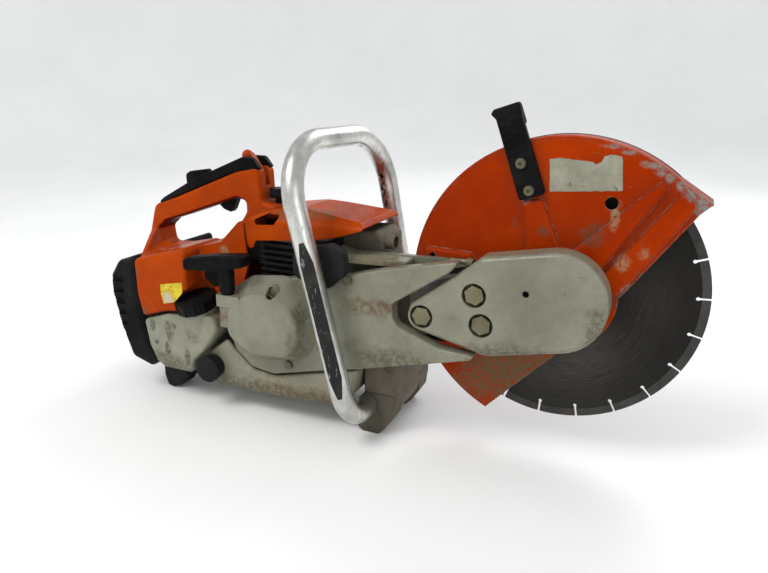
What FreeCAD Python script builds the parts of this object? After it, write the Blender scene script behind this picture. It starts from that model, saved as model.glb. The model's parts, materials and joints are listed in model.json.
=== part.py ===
# Hand-held petrol cut-off saw for masonry, with a 300 mm diamond wheel.
#
# Machine frame: X forward, Y to the operator's left, Z up, millimetres.
# The wheel turns about the spindle, a Y axis at X = 0. The wheel's middle plane is Y = 0.
# The saw stands on Z = 0 on two front feet and one rear foot.
# Every piece is drawn in the machine frame. Its Placement then moves it by origin_x, origin_y,
# so that the part's origin is the middle of its footprint box on the ground.
import FreeCAD, Part
import math
import os
import re

V = FreeCAD.Vector
doc = FreeCAD.newDocument("masonry_saw")
sheet = doc.addObject("Spreadsheet::Sheet", "dims")

DIMENSIONS = [
    ("origin_x", 212.6, "shift from the spindle to the middle of the footprint box"),
    ("origin_y", 3, "shift from the wheel plane to the middle of the footprint box"),
    ("spindle_z", 194.4, "height of the spindle axis"),
    ("crank_x", -310, "crankshaft axis"),
    ("crank_z", 140, "height of the crankshaft axis"),
    ("wheel_radius", 150, "cutting wheel"),
    ("core_thick", 2.8, "steel core of the wheel"),
    ("segment_thick", 3.8, "diamond segments"),
    ("segment_depth", 9, "diamond segments, radial"),
    ("slot_count", 22, "gullets in the rim"),
    ("slot_width", 2.6, "gullet width"),
    ("slot_circle", 137.6, "radius of the circle of gullet ends"),
    ("slot_phase", 19.7, "angle of one gullet above the forward direction"),
    ("arbor_radius", 10, "bore of the wheel and radius of the spindle"),
    ("flange_radius", 51, "clamping flanges"),
    ("guard_radius", 166, "wheel guard, outside"),
    ("guard_half", 18.5, "half the width of the wheel guard"),
    ("guard_wall", 2, "sheet of the wheel guard"),
    ("hub_radius", 62, "round hub of the guard walls"),
    ("boss_radius", 30, "bearing boss that carries the guard"),
    ("cover_face", -75, "outer face of the belt cover"),
    ("cover_wall", 2.5, "wall of the castings and mouldings"),
    ("belt_mid", -53, "plane of the drive belt"),
    ("belt_width", 9, "drive belt"),
    ("driven_radius", 42, "pulley on the spindle"),
    ("drive_radius", 24, "pulley on the clutch drum"),
    ("starter_face", -78, "flat face of the starter cover"),
    ("bulge_face", -108, "outer face of the starter dome"),
    ("stroke_radius", 17, "crank throw"),
    ("rod_length", 52, "connecting rod between centres"),
    ("bar_radius", 12.5, "handlebar tube"),
    ("bar_wall", 2, "handlebar tube wall"),
    ("bar_half", 108, "half the width of the handlebar between tube centres"),
    ("body_half", 88, "half the width of the rear housing"),
    ("handle_half", 19, "half the width of the rear handle"),
    ("shroud_half", 60, "half the width of the engine shroud"),
    ("running_gap", 0.3, "gap between pieces that move past each other"),
]
for row, (alias, value, note) in enumerate(DIMENSIONS, start=1):
    sheet.set("A%d" % row, note)
    sheet.set("B%d" % row, str(value))
    sheet.setAlias("B%d" % row, alias)
doc.recompute()


class Sizes:
    """The sheet's values, read by alias."""

    def __getattr__(self, alias):
        return float(getattr(sheet, alias))


D = Sizes()
ALIASES = sorted((alias for alias, _, _ in DIMENSIONS), key=len, reverse=True)
ALIAS_PATTERN = re.compile(r"\b(%s)\b" % "|".join(ALIASES))
NODES = []
placed_x = {}


def bind(target, prop, size):
    """Set a property to a number, or bind it to an expression of sheet aliases."""
    target.setExpression(prop, ALIAS_PATTERN.sub(r"dims.\1", str(size)))


def finish(target, label):
    """Name a finished piece and move it from the machine frame to the part's own frame."""
    target.Label = label
    at_x, at_y = placed_x.get(target.Name, ("0", "0"))
    bind(target, "Placement.Base.x", "origin_x + (%s)" % at_x)
    bind(target, "Placement.Base.y", "origin_y + (%s)" % at_y)
    NODES.append(target)
    return target


# ---------------------------------------------------------------- primitives and booleans
TURN = {"X": FreeCAD.Rotation(V(0, 1, 0), 90), "Y": FreeCAD.Rotation(V(1, 0, 0), -90),
        "Z": FreeCAD.Rotation()}


def place(target, x, y, z, rotation):
    target.Placement = FreeCAD.Placement(V(0, 0, 0), rotation)
    bind(target, "Placement.Base.x", x)
    bind(target, "Placement.Base.y", y)
    bind(target, "Placement.Base.z", z)
    placed_x[target.Name] = (x, y)
    return target


def rod(name, axis, x, y, z, radius, length):
    """Cylinder from (x, y, z) along +axis."""
    target = doc.addObject("Part::Cylinder", name)
    bind(target, "Radius", radius)
    bind(target, "Height", length)
    return place(target, x, y, z, TURN[axis])


def block(name, x, y, z, size_x, size_y, size_z, tilt=0):
    """Box from its low corner, turned about Y by tilt degrees (positive lifts the front end)."""
    target = doc.addObject("Part::Box", name)
    bind(target, "Length", size_x)
    bind(target, "Width", size_y)
    bind(target, "Height", size_z)
    return place(target, x, y, z, FreeCAD.Rotation(V(0, 1, 0), -tilt))


def hexagon(name, axis, x, y, z, across_flats, length, turn=0):
    """Hexagonal prism from (x, y, z) along +axis."""
    target = doc.addObject("Part::Prism", name)
    target.Polygon = 6
    bind(target, "Circumradius", "(%s) / 1.7320508 " % across_flats)
    bind(target, "Height", length)
    return place(target, x, y, z, TURN[axis].multiply(FreeCAD.Rotation(V(0, 0, 1), turn)))


def ball(name, x, y, z, radius):
    target = doc.addObject("Part::Sphere", name)
    bind(target, "Radius", radius)
    return place(target, x, y, z, FreeCAD.Rotation())


def join(name, shapes):
    target = doc.addObject("Part::MultiFuse", name)
    target.Shapes = shapes
    target.Refine = True
    return target


def group(name, shapes):
    """Separate solids kept together in one object."""
    target = doc.addObject("Part::Compound", name)
    target.Links = shapes
    return target


def cut(name, base, tools):
    target = doc.addObject("Part::Cut", name)
    target.Base = base
    target.Tool = tools[0] if len(tools) == 1 else join(name + "_tools", tools)
    target.Refine = True
    return target


def tube(name, axis, x, y, z, radius, bore, length):
    """Ring or sleeve."""
    return cut(name, rod(name + "_outer", axis, x, y, z, radius, length),
               [rod(name + "_bore", axis, x, y, z, bore, length)])


# ---------------------------------------------------------------- outlines and bodies
def tangent_corner(before, corner, after, radius):
    """Entry point, exit point and arc centre of a rounded corner."""
    to_before = (V(*before, 0) - V(*corner, 0)).normalize()
    to_after = (V(*after, 0) - V(*corner, 0)).normalize()
    half = to_before.getAngle(to_after) / 2
    reach = radius / math.tan(half)
    entry = V(*corner, 0) + to_before * reach
    leave = V(*corner, 0) + to_after * reach
    middle = (to_before + to_after).normalize()
    centre = V(*corner, 0) + middle * (radius / math.sin(half))
    return entry, leave, centre, centre - middle * radius


def rounded_edges(corners):
    """Lines and arcs of a closed outline given as (first, second, corner radius)."""
    count = len(corners)
    turns = []
    for index, (a, b, radius) in enumerate(corners):
        if radius == 0:
            turns.append((V(a, b, 0), V(a, b, 0), None, None))
            continue
        before = corners[index - 1][:2]
        after = corners[(index + 1) % count][:2]
        turns.append(tangent_corner(before, (a, b), after, radius))
    edges = []
    for index in range(count):
        entry, leave, centre, middle = turns[index]
        if centre is not None:
            edges.append(Part.Arc(entry, middle, leave))
        start, end = leave, turns[(index + 1) % count][0]
        if (end - start).Length > 1e-6:
            edges.append(Part.LineSegment(start, end))
    return edges


def inset(corners, distance):
    """The outline moved inwards by a wall thickness, with its corner radii to match."""
    count = len(corners)
    area = sum(corners[i - 1][0] * corners[i][1] - corners[i][0] * corners[i - 1][1] for i in range(count))
    side = 1 if area > 0 else -1
    lines = []
    for index in range(count):
        a = V(corners[index][0], corners[index][1], 0)
        b = V(corners[(index + 1) % count][0], corners[(index + 1) % count][1], 0)
        along = (b - a).normalize()
        inward = V(-along.y, along.x, 0) * side
        lines.append((a + inward * distance, along))
    moved = []
    for index in range(count):
        point_a, along_a = lines[index - 1]
        point_b, along_b = lines[index]
        turn = along_a.x * along_b.y - along_a.y * along_b.x
        gap = point_b - point_a
        reach = (gap.x * along_b.y - gap.y * along_b.x) / turn
        corner = point_a + along_a * reach
        convex = turn * side > 0
        radius = corners[index][2] - distance if convex else corners[index][2] + distance
        moved.append((corner.x, corner.y, max(radius, 0)))
    return moved


PLANES = {"XZ": "XZ_Plane", "XY": "XY_Plane", "YZ": "YZ_Plane"}


def new_body(name):
    return doc.addObject("PartDesign::Body", name)


def sketch(body, name, plane, offset, lift=0):
    """Empty sketch on a plane of the body: XZ at Y = offset, XY at Z = offset, YZ at X = offset."""
    drawing = body.newObject("Sketcher::SketchObject", name)
    origin = [item for item in body.Origin.OriginFeatures if item.Role == PLANES[plane]][0]
    drawing.AttachmentSupport = [(origin, "")]
    drawing.MapMode = "FlatFace"
    # The normal of the XZ plane is -Y.
    bind(drawing, "AttachmentOffset.Base.z", "-(%s)" % offset if plane == "XZ" else offset)
    bind(drawing, "AttachmentOffset.Base.y", lift)
    return drawing


def draw(drawing, corners):
    edges = rounded_edges(corners)
    first = drawing.GeometryCount
    for edge in edges:
        if isinstance(edge, Part.Arc):
            circle = edge.toShape().Curve
            begin, finish_angle = arc_angles(edge)
            drawing.addGeometry(Part.ArcOfCircle(Part.Circle(circle.Center, V(0, 0, 1), circle.Radius),
                                                 begin, finish_angle), False)
        else:
            drawing.addGeometry(edge, False)
    return first


def arc_angles(arc):
    """Counter-clockwise start and end angles of an arc in the sketch plane."""
    shape = arc.toShape()
    centre = shape.Curve.Center
    start, end = shape.valueAt(shape.FirstParameter), shape.valueAt(shape.LastParameter)
    middle = shape.valueAt((shape.FirstParameter + shape.LastParameter) / 2)
    angle = [math.atan2(p.y - centre.y, p.x - centre.x) for p in (start, middle, end)]
    full = 2 * math.pi
    if (angle[1] - angle[0]) % full < (angle[2] - angle[0]) % full:
        low, high = angle[0], angle[2]
    else:
        low, high = angle[2], angle[0]
    return low, low + (high - low) % full


def circles(drawing, spots):
    """Circles given as (first, second, radius)."""
    for a, b, radius in spots:
        drawing.addGeometry(Part.Circle(V(a, b, 0), V(0, 0, 1), radius), False)


def pad(body, name, plane, low, high, corners=(), spots=(), lift=0):
    """Pad an outline between two offsets of its plane."""
    reverse = plane == "XZ"
    drawing = sketch(body, name + "_sketch", plane, high if reverse else low, lift)
    if corners:
        draw(drawing, corners)
    circles(drawing, spots)
    feature = body.newObject("PartDesign::Pad", name)
    feature.Profile = drawing
    bind(feature, "Length", "(%s) - (%s)" % (high, low))
    return feature


def pocket(body, name, plane, low, high, corners=(), spots=(), lift=0):
    """Remove an outline between two offsets of its plane."""
    reverse = plane == "XZ"
    drawing = sketch(body, name + "_sketch", plane, low if reverse else high, lift)
    if corners:
        draw(drawing, corners)
    circles(drawing, spots)
    feature = body.newObject("PartDesign::Pocket", name)
    feature.Profile = drawing
    bind(feature, "Length", "(%s) - (%s)" % (high, low))
    return feature


def soften(body, name, radius, chosen):
    """Fillet the edges of the last feature that the test picks."""
    doc.recompute()
    last = body.Tip
    names = ["Edge%d" % number for number,
             edge in enumerate(last.Shape.Edges, start=1) if chosen(edge.BoundBox)]
    feature = body.newObject("PartDesign::Fillet", name)
    feature.Base = (last, names)
    feature.Radius = radius
    doc.recompute()
    return feature


def on_y(level):
    return lambda box: abs(box.YMin - level) < 0.01 and abs(box.YMax - level) < 0.01


def on_either_y(level):
    return lambda box: abs(abs(box.YMin) - level) < 0.01 and abs(box.YMax - box.YMin) < 0.02


def path_wire(points, radius):
    """Open path of straight runs joined by tangent arcs."""
    edges = []
    start = points[0]
    for before, corner, after, bend in zip(points, points[1:], points[2:], radius):
        to_before = (before - corner).normalize()
        to_after = (after - corner).normalize()
        half = to_before.getAngle(to_after) / 2
        reach = bend / math.tan(half)
        entry, leave = corner + to_before * reach, corner + to_after * reach
        middle = (to_before + to_after).normalize()
        top = corner + middle * (bend / math.sin(half) - bend)
        if (entry - start).Length > 1e-6:
            edges.append(Part.LineSegment(start, entry).toShape())
        edges.append(Part.Arc(entry, top, leave).toShape())
        start = leave
    edges.append(Part.LineSegment(start, points[-1]).toShape())
    return Part.Wire(edges)


def swept_round(wire, radius, bore=0):
    """Solid round bar or tube along a wire."""
    begin = wire.Edges[0].valueAt(wire.Edges[0].FirstParameter)
    along = wire.Edges[0].tangentAt(wire.Edges[0].FirstParameter)
    ring = Part.Wire(Part.makeCircle(radius, begin, along))
    solid = wire.makePipeShell([ring], True, False)
    if bore:
        hole = Part.Wire(Part.makeCircle(bore, begin, along))
        solid = solid.cut(wire.makePipeShell([hole], True, False))
    return solid


def shaped(name, shape):
    target = doc.addObject("Part::Feature", name)
    target.Shape = shape
    return target


# ================================================================ cutting wheel and spindle
core = new_body("core_body")
rim = D.wheel_radius - D.segment_depth
pad(core, "core_disc", "XZ", "-core_thick / 2", "core_thick / 2",
    spots=[(0, 0, rim), (0, 0, D.arbor_radius)], lift="spindle_z")


def polar(radius, side, angle):
    """Point at a radius and a sideways distance from the ray at the given angle."""
    turn = math.radians(angle)
    return (radius * math.cos(turn) - side * math.sin(turn), radius * math.sin(turn) + side * math.cos(turn))


half_slot = D.slot_width / 2
slot_outline = [polar(r, side, D.slot_phase) + (0,) for r, side in
                [(D.slot_circle, -half_slot), (rim + 2, -half_slot), (rim + 2, half_slot),
                 (D.slot_circle, half_slot)]]
gullet = pocket(core, "gullet", "XZ", "-core_thick", "core_thick", corners=slot_outline, lift="spindle_z")
keyhole_at = polar(D.slot_circle, 0, D.slot_phase) + (half_slot * 1.6,)
keyhole = pocket(core, "gullet_end", "XZ", "-core_thick", "core_thick", spots=[keyhole_at], lift="spindle_z")
doc.recompute()
gullets = core.newObject("PartDesign::PolarPattern", "gullets")
gullets.Originals = [gullet, keyhole]
gullets.Axis = (gullet.Profile[0], ["N_Axis"])
gullets.Angle = 360
bind(gullets, "Occurrences", "slot_count")
core.Tip = gullets
finish(core, "blade_core")


def segment_ring():
    """The rim of diamond segments, one solid between each pair of gullets."""
    centre = V(0, -D.segment_thick / 2, D.spindle_z)
    ring = Part.makeCylinder(D.wheel_radius, D.segment_thick, centre, V(0, 1, 0))
    ring = ring.cut(Part.makeCylinder(rim, D.segment_thick, centre, V(0, 1, 0)))
    tools = []
    for number in range(int(D.slot_count)):
        gap = Part.makeBox(2 * D.segment_depth, 2 * D.segment_thick, D.slot_width,
                           V(rim - D.segment_depth / 2, -D.segment_thick, D.spindle_z - half_slot))
        gap.rotate(V(0, 0, D.spindle_z), V(0, 1, 0), -D.slot_phase + number * 360 / D.slot_count)
        tools.append(gap)
    return Part.makeCompound(ring.cut(tools).Solids)


finish(shaped("segments", segment_ring()), "diamond_segments")


def clamp_flange(name, low, high, face_low, face_high):
    """Clamping flange: a disc with a raised rim that presses on the wheel."""
    disc = rod(name + "_disc", "Y", 0, low, "spindle_z", "flange_radius", "(%s) - (%s)" % (high, low))
    bore = rod(name + "_bore", "Y", 0, "(%s) - 1" % low, "spindle_z", "arbor_radius + 0.02",
               "(%s) - (%s) + 2" % (high, low))
    dish = rod(name + "_dish", "Y", 0, face_low, "spindle_z", "flange_radius - 12",
               "(%s) - (%s)" % (face_high, face_low))
    return cut(name + "_cut", disc, [bore, dish])


finish(clamp_flange("inner", "-8.4", "-core_thick / 2", "-core_thick / 2 - 1", "-core_thick / 2 + 1"),
       "flange_inner")
finish(clamp_flange("outer", "core_thick / 2", "8.4", "core_thick / 2 - 1", "core_thick / 2 + 1"),
       "flange_outer")

bolt_head = hexagon("bolt_head", "Y", 0, "11.4", "spindle_z", 19, 8)
bolt_washer = rod("bolt_washer", "Y", 0, "8.4", "spindle_z", 17, 3)
bolt_shank = rod("bolt_shank", "Y", 0, "-22", "spindle_z", 5, 31)
finish(join("wheel_bolt", [bolt_head, bolt_washer, bolt_shank]), "flange_bolt")

shaft = rod("shaft_bar", "Y", 0, "-66", "spindle_z", "arbor_radius", 74)
shoulder = rod("shaft_shoulder", "Y", 0, "-11", "spindle_z", 14, 2.6)
thread_bore = rod("shaft_thread", "Y", 0, "-24", "spindle_z", 5, 40)
finish(cut("spindle", join("spindle_solid", [shaft, shoulder]), [thread_bore]), "spindle_shaft")


def belt_pulley(name, x, z, radius, bore, low, high):
    """Pulley with raised cheeks on both sides of the belt."""
    pieces = [rod(name + "_hub", "Y", x, low, z, radius, "(%s) - (%s)" % (high, low))]
    for number, level in enumerate((low, "(%s) - 1.5" % high)):
        pieces.append(rod("%s_cheek_%d" % (name, number), "Y", x, level, z, "(%s) + 4" % radius, 1.5))
    return cut(name + "_cut", join(name + "_join", pieces),
               [rod(name + "_bore", "Y", x, "(%s) - 1" % low, z, bore, "(%s) - (%s) + 2" % (high, low))])


finish(belt_pulley("driven", "0", "spindle_z", "driven_radius", "arbor_radius", "belt_mid - 6.5",
                   "belt_mid + 6.5"),
       "driven_pulley")

# ================================================================ wheel guard
FORWARD_EDGE = [(66, 8), (126.6, 96.2), (130, 106), (150, 190)]
LOWER_EDGE = [(-110, -190), (1, -73)]
sector = new_body("guard_sector")
outline = [(x, z, 0) for x, z in FORWARD_EDGE + [(0, 300), (-300, 200), (-300, -150)] + LOWER_EDGE]
outline[1] = outline[1][:2] + (7,)
pad(sector, "guard_blank", "XZ", "-guard_half", "guard_half", corners=outline, lift="spindle_z")
guard_disc = rod("guard_disc", "Y", 0, "-guard_half", "spindle_z", "guard_radius", "2 * guard_half")
guard_blank = doc.addObject("Part::MultiCommon", "guard_round")
guard_blank.Shapes = [sector, guard_disc]
guard_hub = rod("guard_hub", "Y", 0, "-guard_half", "spindle_z", "hub_radius", "2 * guard_half")
guard_inside = rod("guard_inside", "Y", 0, "guard_wall - guard_half", "spindle_z",
                   "guard_radius - guard_wall",
                   "2 * (guard_half - guard_wall)")
far_opening = rod("guard_far_opening", "Y", 0, 0, "spindle_z", "flange_radius + 3", "guard_half + 2")
near_bore = rod("guard_near_bore", "Y", 0, "-guard_half - 2", "spindle_z", "boss_radius + 0.05",
                "guard_half + 2")
water_bore = rod("guard_water_bore", "Y", 45, "-guard_half - 2", 295.7, 6.5, "guard_wall + 4")
guard_shell = cut("guard_shell", join("guard_solid", [guard_blank, guard_hub]),
                  [guard_inside, far_opening, near_bore, water_bore])


def rim_bead(name, y):
    """Rolled edge of the guard sheet."""
    bead = doc.addObject("Part::Torus", name)
    bind(bead, "Radius1", "guard_radius - 1.6")
    bead.Radius2 = 2.2
    bead.Angle3 = 203
    return place(bead, 0, y, "spindle_z", TURN["Y"].multiply(FreeCAD.Rotation(V(0, 0, 1), -243.4)))


RIB_HEIGHT, RIB_ROUND = 6, 4


def pressed_rib(name, corners):
    """Raised rib with a soft crest on the near wall of the guard."""
    rib = new_body(name)
    pad(rib, name + "_pad", "XZ", -D.guard_half - RIB_HEIGHT, "-guard_half + 0.5", corners=corners)
    soften(rib, name + "_edge", RIB_ROUND, on_y(-D.guard_half - RIB_HEIGHT))
    return rib


ribs = [
    pressed_rib("rib_lever", [(-45, 292, 4.5), (-24, 295, 4.5), (4, 235, 6), (-35, 228, 7)]),
    pressed_rib("rib_upper", [(8, 239, 5), (91, 322, 4.2), (97, 315, 4.2), (36, 217, 5)]),
    pressed_rib("rib_edge", [(38, 211, 5), (110, 313, 6), (125, 299, 6), (58, 197, 5)]),
    pressed_rib("rib_rear", [(-153, 213, 4.5), (-151, 231, 4.5), (-97, 229, 4.5), (-89, 214, 4.5)]),
]

# The front end of the rim runs straight on past the round to a pointed tip, folded from sheet.
TIP_START, TIP_END = (92.2, 136.8), (138, 107.5)
TIP_SIDE = [TIP_START, TIP_END, (125, 95), (105, 115)]
TIP_TOP = [TIP_START, TIP_END, (136.8, 105.6), (91, 134.9)]
tip = new_body("guard_tip")
for name, low, high, outline in (("near", "-guard_half", "guard_wall - guard_half", TIP_SIDE),
                                 ("top", "-guard_half", "guard_half", TIP_TOP),
                                 ("far", "guard_half - guard_wall", "guard_half", TIP_SIDE)):
    pad(tip, "tip_" + name, "XZ", low, high, corners=[(x, z, 0) for x, z in outline],
        lift="spindle_z")
ear_hole = rod("ear_hole", "Y", -142, "-guard_half - 7", 222, 3.4, 13)
finish(cut("guard", join("guard_joined", [guard_shell, rim_bead("bead_near", "-guard_half + 1.6"),
                                        rim_bead("bead_far", "guard_half - 1.6"), tip] + ribs),
           [ear_hole]), "blade_guard")

lever = new_body("guard_lever_body")
pad(lever, "lever_plate", "XZ", "-guard_half - 9", "-guard_half - 1",
    corners=[(-83, 379, 2.5), (-80, 384, 2.5), (-54, 393, 2.5), (-52, 388, 2.5), (-50, 378, 4),
             (-21, 301, 3), (-47, 292, 3), (-77, 374, 4)])
soften(lever, "lever_edge", 1.5, on_y(-D.guard_half - 9))
pad(lever, "lever_back", "XZ", "-guard_half - 1.1", "-guard_half + 6",
    corners=[(-82, 383, 4), (-55, 392, 4), (-47, 371, 3), (-73, 361, 3)])
pad(lever, "lever_foot", "XZ", "-guard_half - 1.1", "-guard_half",
    corners=[(-58, 345, 3), (-39, 348, 3), (-24, 303, 3), (-43, 296, 3)])
LEVER_SCREWS = [(-48, 331), (-37.5, 303.5)]
LEVER_TILT, LEVER_FOOT_X, LEVER_FOOT_Z = 21.3, -34, 296.5
WAFFLE_ROWS, WAFFLE_PITCH, WAFFLE_FIRST = 6, 7.6, 43
WAFFLE_WIDE, WAFFLE_TALL = 8.5, 5.4
pocket(lever, "lever_holes", "XZ", "-guard_half - 10", "-guard_half + 1",
       spots=[(x, z, 2.6) for x, z in LEVER_SCREWS])
# Two staggered columns of small hollows roughen the upper part of the lever.
lean = math.radians(LEVER_TILT)
waffle = []
for row in range(WAFFLE_ROWS):
    for side, across in ((0, -10.5), (1, 2)):
        along = WAFFLE_FIRST + WAFFLE_PITCH * (row + 0.4 * side)
        x = LEVER_FOOT_X + across * math.cos(lean) - along * math.sin(lean)
        z = LEVER_FOOT_Z + across * math.sin(lean) + along * math.cos(lean)
        waffle.append(block("waffle_%d_%d" % (row, side), x, -D.guard_half - 10, z, WAFFLE_WIDE, 2.4,
                            WAFFLE_TALL, LEVER_TILT))
finish(cut("lever_cut", lever, waffle), "guard_lever")
finish(group("lever_screws", [
    cut("lever_screw_%d" % number, join("lever_screw_solid_%d" % number, [
        rod("lever_shank_%d" % number, "Y", x, "-guard_half - 9.5", z, 2.5, 9.4),
        rod("lever_washer_%d" % number, "Y", x, "-guard_half - 10", z, 5.4, 1),
        rod("lever_head_%d" % number, "Y", x, "-guard_half - 12.5", z, 4.2, 3)]),
        [hexagon("lever_socket_%d" % number, "Y", x, "-guard_half - 13", z, 4, 2.8)])
    for number, (x, z) in enumerate(LEVER_SCREWS)]), "guard_lever_screws")

# ================================================================ cutting arm
ARM_STUDS = [(-135, 165), (-77, 197), (-68, 165)]
carrier = new_body("carrier_body")
pad(carrier, "carrier_plate", "XZ", -45, -34.5,
    corners=[(-160, 146, 14), (-160, 188, 14), (-10, 240, 40), (46, 196, 40), (-6, 148, 40)])
pad(carrier, "carrier_boss", "XZ", -34.6, -12, spots=[(0, D.spindle_z, D.boss_radius)])
pocket(carrier, "carrier_bore", "XZ", -46, -11, spots=[(0, D.spindle_z, 17)])
pocket(carrier, "carrier_stud_holes", "XZ", -46, -34, spots=[(x, z, 5.4) for x, z in ARM_STUDS])
finish(carrier, "bearing_carrier")

spindle_bearings = [tube("bearing_%d" % number, "Y", 0, level, "spindle_z", 16.98, "arbor_radius + 0.03", 10)
                    for number, level in enumerate((-44.5, -24))]

arm = new_body("arm_body")
ARM_OUTLINE = [(-262, 104, 8), (-262, 226, 10), (-236, 219, 10), (-126, 222, 8), (-52, 216, 18),
               (-52, 158, 18),
               (-120, 128, 30), (-180, 96, 20)]
pad(arm, "arm_plate", "XZ", -34, -26.5, corners=ARM_OUTLINE)
pad(arm, "arm_top_flange", "XZ", -59, -33.9,
    corners=[(-262, 217, 0), (-262, 225, 3), (-236, 218, 0), (-160, 220, 3), (-160, 213, 0), (-236, 210, 0)])
pad(arm, "arm_foot_flange", "XZ", -59, -33.9,
    corners=[(-250, 98, 2), (-250, 105, 2), (-206, 105, 2), (-206, 98, 2)])
arm_studs = [rod("arm_stud_%d" % number, "Y", x, -71.5, z, 5, 38) for number, (x, z) in enumerate(ARM_STUDS)]
finish(join("arm_solid", [arm] + arm_studs), "cast_arm")

COVER = [(-86, 226, 5), (-72, 238, 9), (58, 262, 52), (58, 156, 52), (-62, 130, 30), (-148, 150, 15),
         (-152, 175, 13)]
cover = new_body("cover_body")
pad(cover, "cover_face_pad", "XZ", "cover_face", "cover_face + 13", corners=COVER)
soften(cover, "cover_round", 6, on_y(D.cover_face))
COVER_FRONT = [(-84, 227, 3), (-72, 238, 9), (58, 262, 52), (58, 156, 52), (-62, 130, 30), (-84, 134, 3)]
pad(cover, "cover_skirt", "XZ", "cover_face + 12.9", -46, corners=COVER_FRONT)
pocket(cover, "cover_inside", "XZ", "cover_face + cover_wall", "cover_face + 14",
       corners=inset(COVER, D.cover_wall))
FRONT_INSIDE = [(-95, 222, 0)] + inset(COVER_FRONT, D.cover_wall)[1:5] + [(-95, 136, 0)]
pocket(cover, "cover_skirt_inside", "XZ", "cover_face + 12", -45, corners=FRONT_INSIDE)
pad(cover, "nut_cups", "XZ", "cover_face + 1", "cover_face + 14", spots=[(x, z, 15.5) for x, z in ARM_STUDS])
pocket(cover, "nut_recesses", "XZ", "cover_face - 1", "cover_face + 9.5",
       spots=[(x, z, 13.2) for x, z in ARM_STUDS])
pocket(cover, "nut_holes", "XZ", "cover_face", "cover_face + 15",
       spots=[(x, z, 5.5) for x, z in ARM_STUDS] + [(-23, 206, 3.5)])
finish(cover, "belt_cover")

finish(group("cover_nut_set", [
    cut("cover_nut_%d" % number, join("cover_nut_solid_%d" % number, [
        hexagon("nut_hex_%d" % number, "Y", x, "cover_face + 0.5", z, 19, 7.5, turn=17 * number),
        rod("nut_flange_%d" % number, "Y", x, "cover_face + 7.5", z, 12, 2)]),
        [rod("nut_bore_%d" % number, "Y", x, "cover_face + 3", z, 5, 9)])
    for number, (x, z) in enumerate(ARM_STUDS)]), "belt_cover_nuts")

tension_head = hexagon("tension_hex", "X", -92, -54, 227, 8, 7)
tension_bar = rod("tension_bar", "X", -110, -54, 227, 3, 19)
finish(join("tension", [tension_head, tension_bar]), "belt_tension_screw")


def belt_loop():
    """Drive belt: two straight runs that touch both pulleys, and the arcs round them."""
    clear = D.running_gap
    side_y = D.belt_mid - D.belt_width / 2
    crank, spindle = V(D.crank_x, side_y, D.crank_z), V(0, side_y, D.spindle_z)
    span = spindle - crank
    lean = math.atan2(span.z, span.x)
    radius = (D.drive_radius + clear, D.driven_radius + clear)
    wrap = math.asin((radius[1] - radius[0]) / span.Length)
    faces = []
    for extra in (0, 4.5):
        spots = []
        for side in (1, -1):
            angle = lean + side * (math.pi / 2 + wrap)
            ray = V(math.cos(angle), 0, math.sin(angle))
            spots.append((crank + ray * (radius[0] + extra), spindle + ray * (radius[1] + extra)))
        ahead = V(math.cos(lean), 0, math.sin(lean))
        edges = [
            Part.LineSegment(spots[0][0], spots[0][1]).toShape(),
            Part.Arc(spots[0][1], spindle + ahead * (radius[1] + extra), spots[1][1]).toShape(),
            Part.LineSegment(spots[1][1], spots[1][0]).toShape(),
            Part.Arc(spots[1][0], crank - ahead * (radius[0] + extra), spots[0][0]).toShape(),
        ]
        faces.append(Part.Face(Part.Wire(edges)))
    return faces[1].cut(faces[0]).extrude(V(0, D.belt_width, 0)).Solids[0]


finish(shaped("belt", belt_loop()), "drive_belt")

# ================================================================ clutch and starter
clutch_pulley = belt_pulley("clutch_pulley", "crank_x", "crank_z", "drive_radius", "8.05", "belt_mid - 6.5",
                            "belt_mid + 6.5")
drum_cup = rod("drum_cup", "Y", "crank_x", -46.6, "crank_z", 39, 13)
drum_room = rod("drum_room", "Y", "crank_x", -44, "crank_z", 36, 13)
drum_bore = rod("drum_bore", "Y", "crank_x", -50, "crank_z", 8.05, 10)
finish(join("drum", [clutch_pulley, cut("drum_shell", drum_cup, [drum_room, drum_bore])]), "clutch_drum")


def clutch_shoe(number):
    """One of three centrifugal shoes, a sector between the hub and the drum."""
    angle = 90 + 120 * number
    sweep = 100
    centre = V(D.crank_x, -43.5, D.crank_z)
    solids = []
    for radius in (35.2, 16):
        solid = Part.makeCylinder(radius, 9.5, V(0, 0, 0), V(0, 0, 1), sweep)
        solid.rotate(V(0, 0, 0), V(0, 0, 1), angle - sweep / 2)
        solid.rotate(V(0, 0, 0), V(1, 0, 0), 90)
        solid.translate(centre + V(0, 9.5, 0))
        solids.append(solid)
    return solids[0].cut(solids[1])


shoes = shaped("shoes", Part.makeCompound([clutch_shoe(number) for number in range(3)]))
spider = tube("spider", "Y", "crank_x", -43.5, "crank_z", 15.5, 8, 9.5)
finish(group("clutch_pieces", [shoes, spider]), "clutch_shoes")

COVER_NOTCH = [(-94, 232, 2), (-104, 219, 8), (-168, 176, 10), (-168, 152, 16), (-112, 132, 30),
               (-72, 130, 1.5)]
COVER_LOW = [(-78, 124, 4), (-142, 107, 20), (-214, 88, 12), (-262, 77, 30), (-326, 61, 14), (-357, 65, 16),
             (-381, 85, 16)]
COVER_REAR = [(-391, 114, 14), (-392, 150, 14), (-345, 176, 14), (-292, 190, 20), (-232, 199, 10),
              (-184, 212, 10)]
STARTER = COVER_NOTCH + COVER_LOW + COVER_REAR
starter = new_body("starter_cover_body")
pad(starter, "starter_plate", "XZ", "starter_face", "starter_face + 16", corners=STARTER)
soften(starter, "starter_round", 2.5, on_y(D.starter_face))
DOME = [(-390, 108, 26), (-386, 160, 24), (-350, 186, 26), (-298, 192, 28), (-266, 166, 28), (-260, 120, 34),
        (-282, 86, 28), (-340, 80, 36)]
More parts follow.
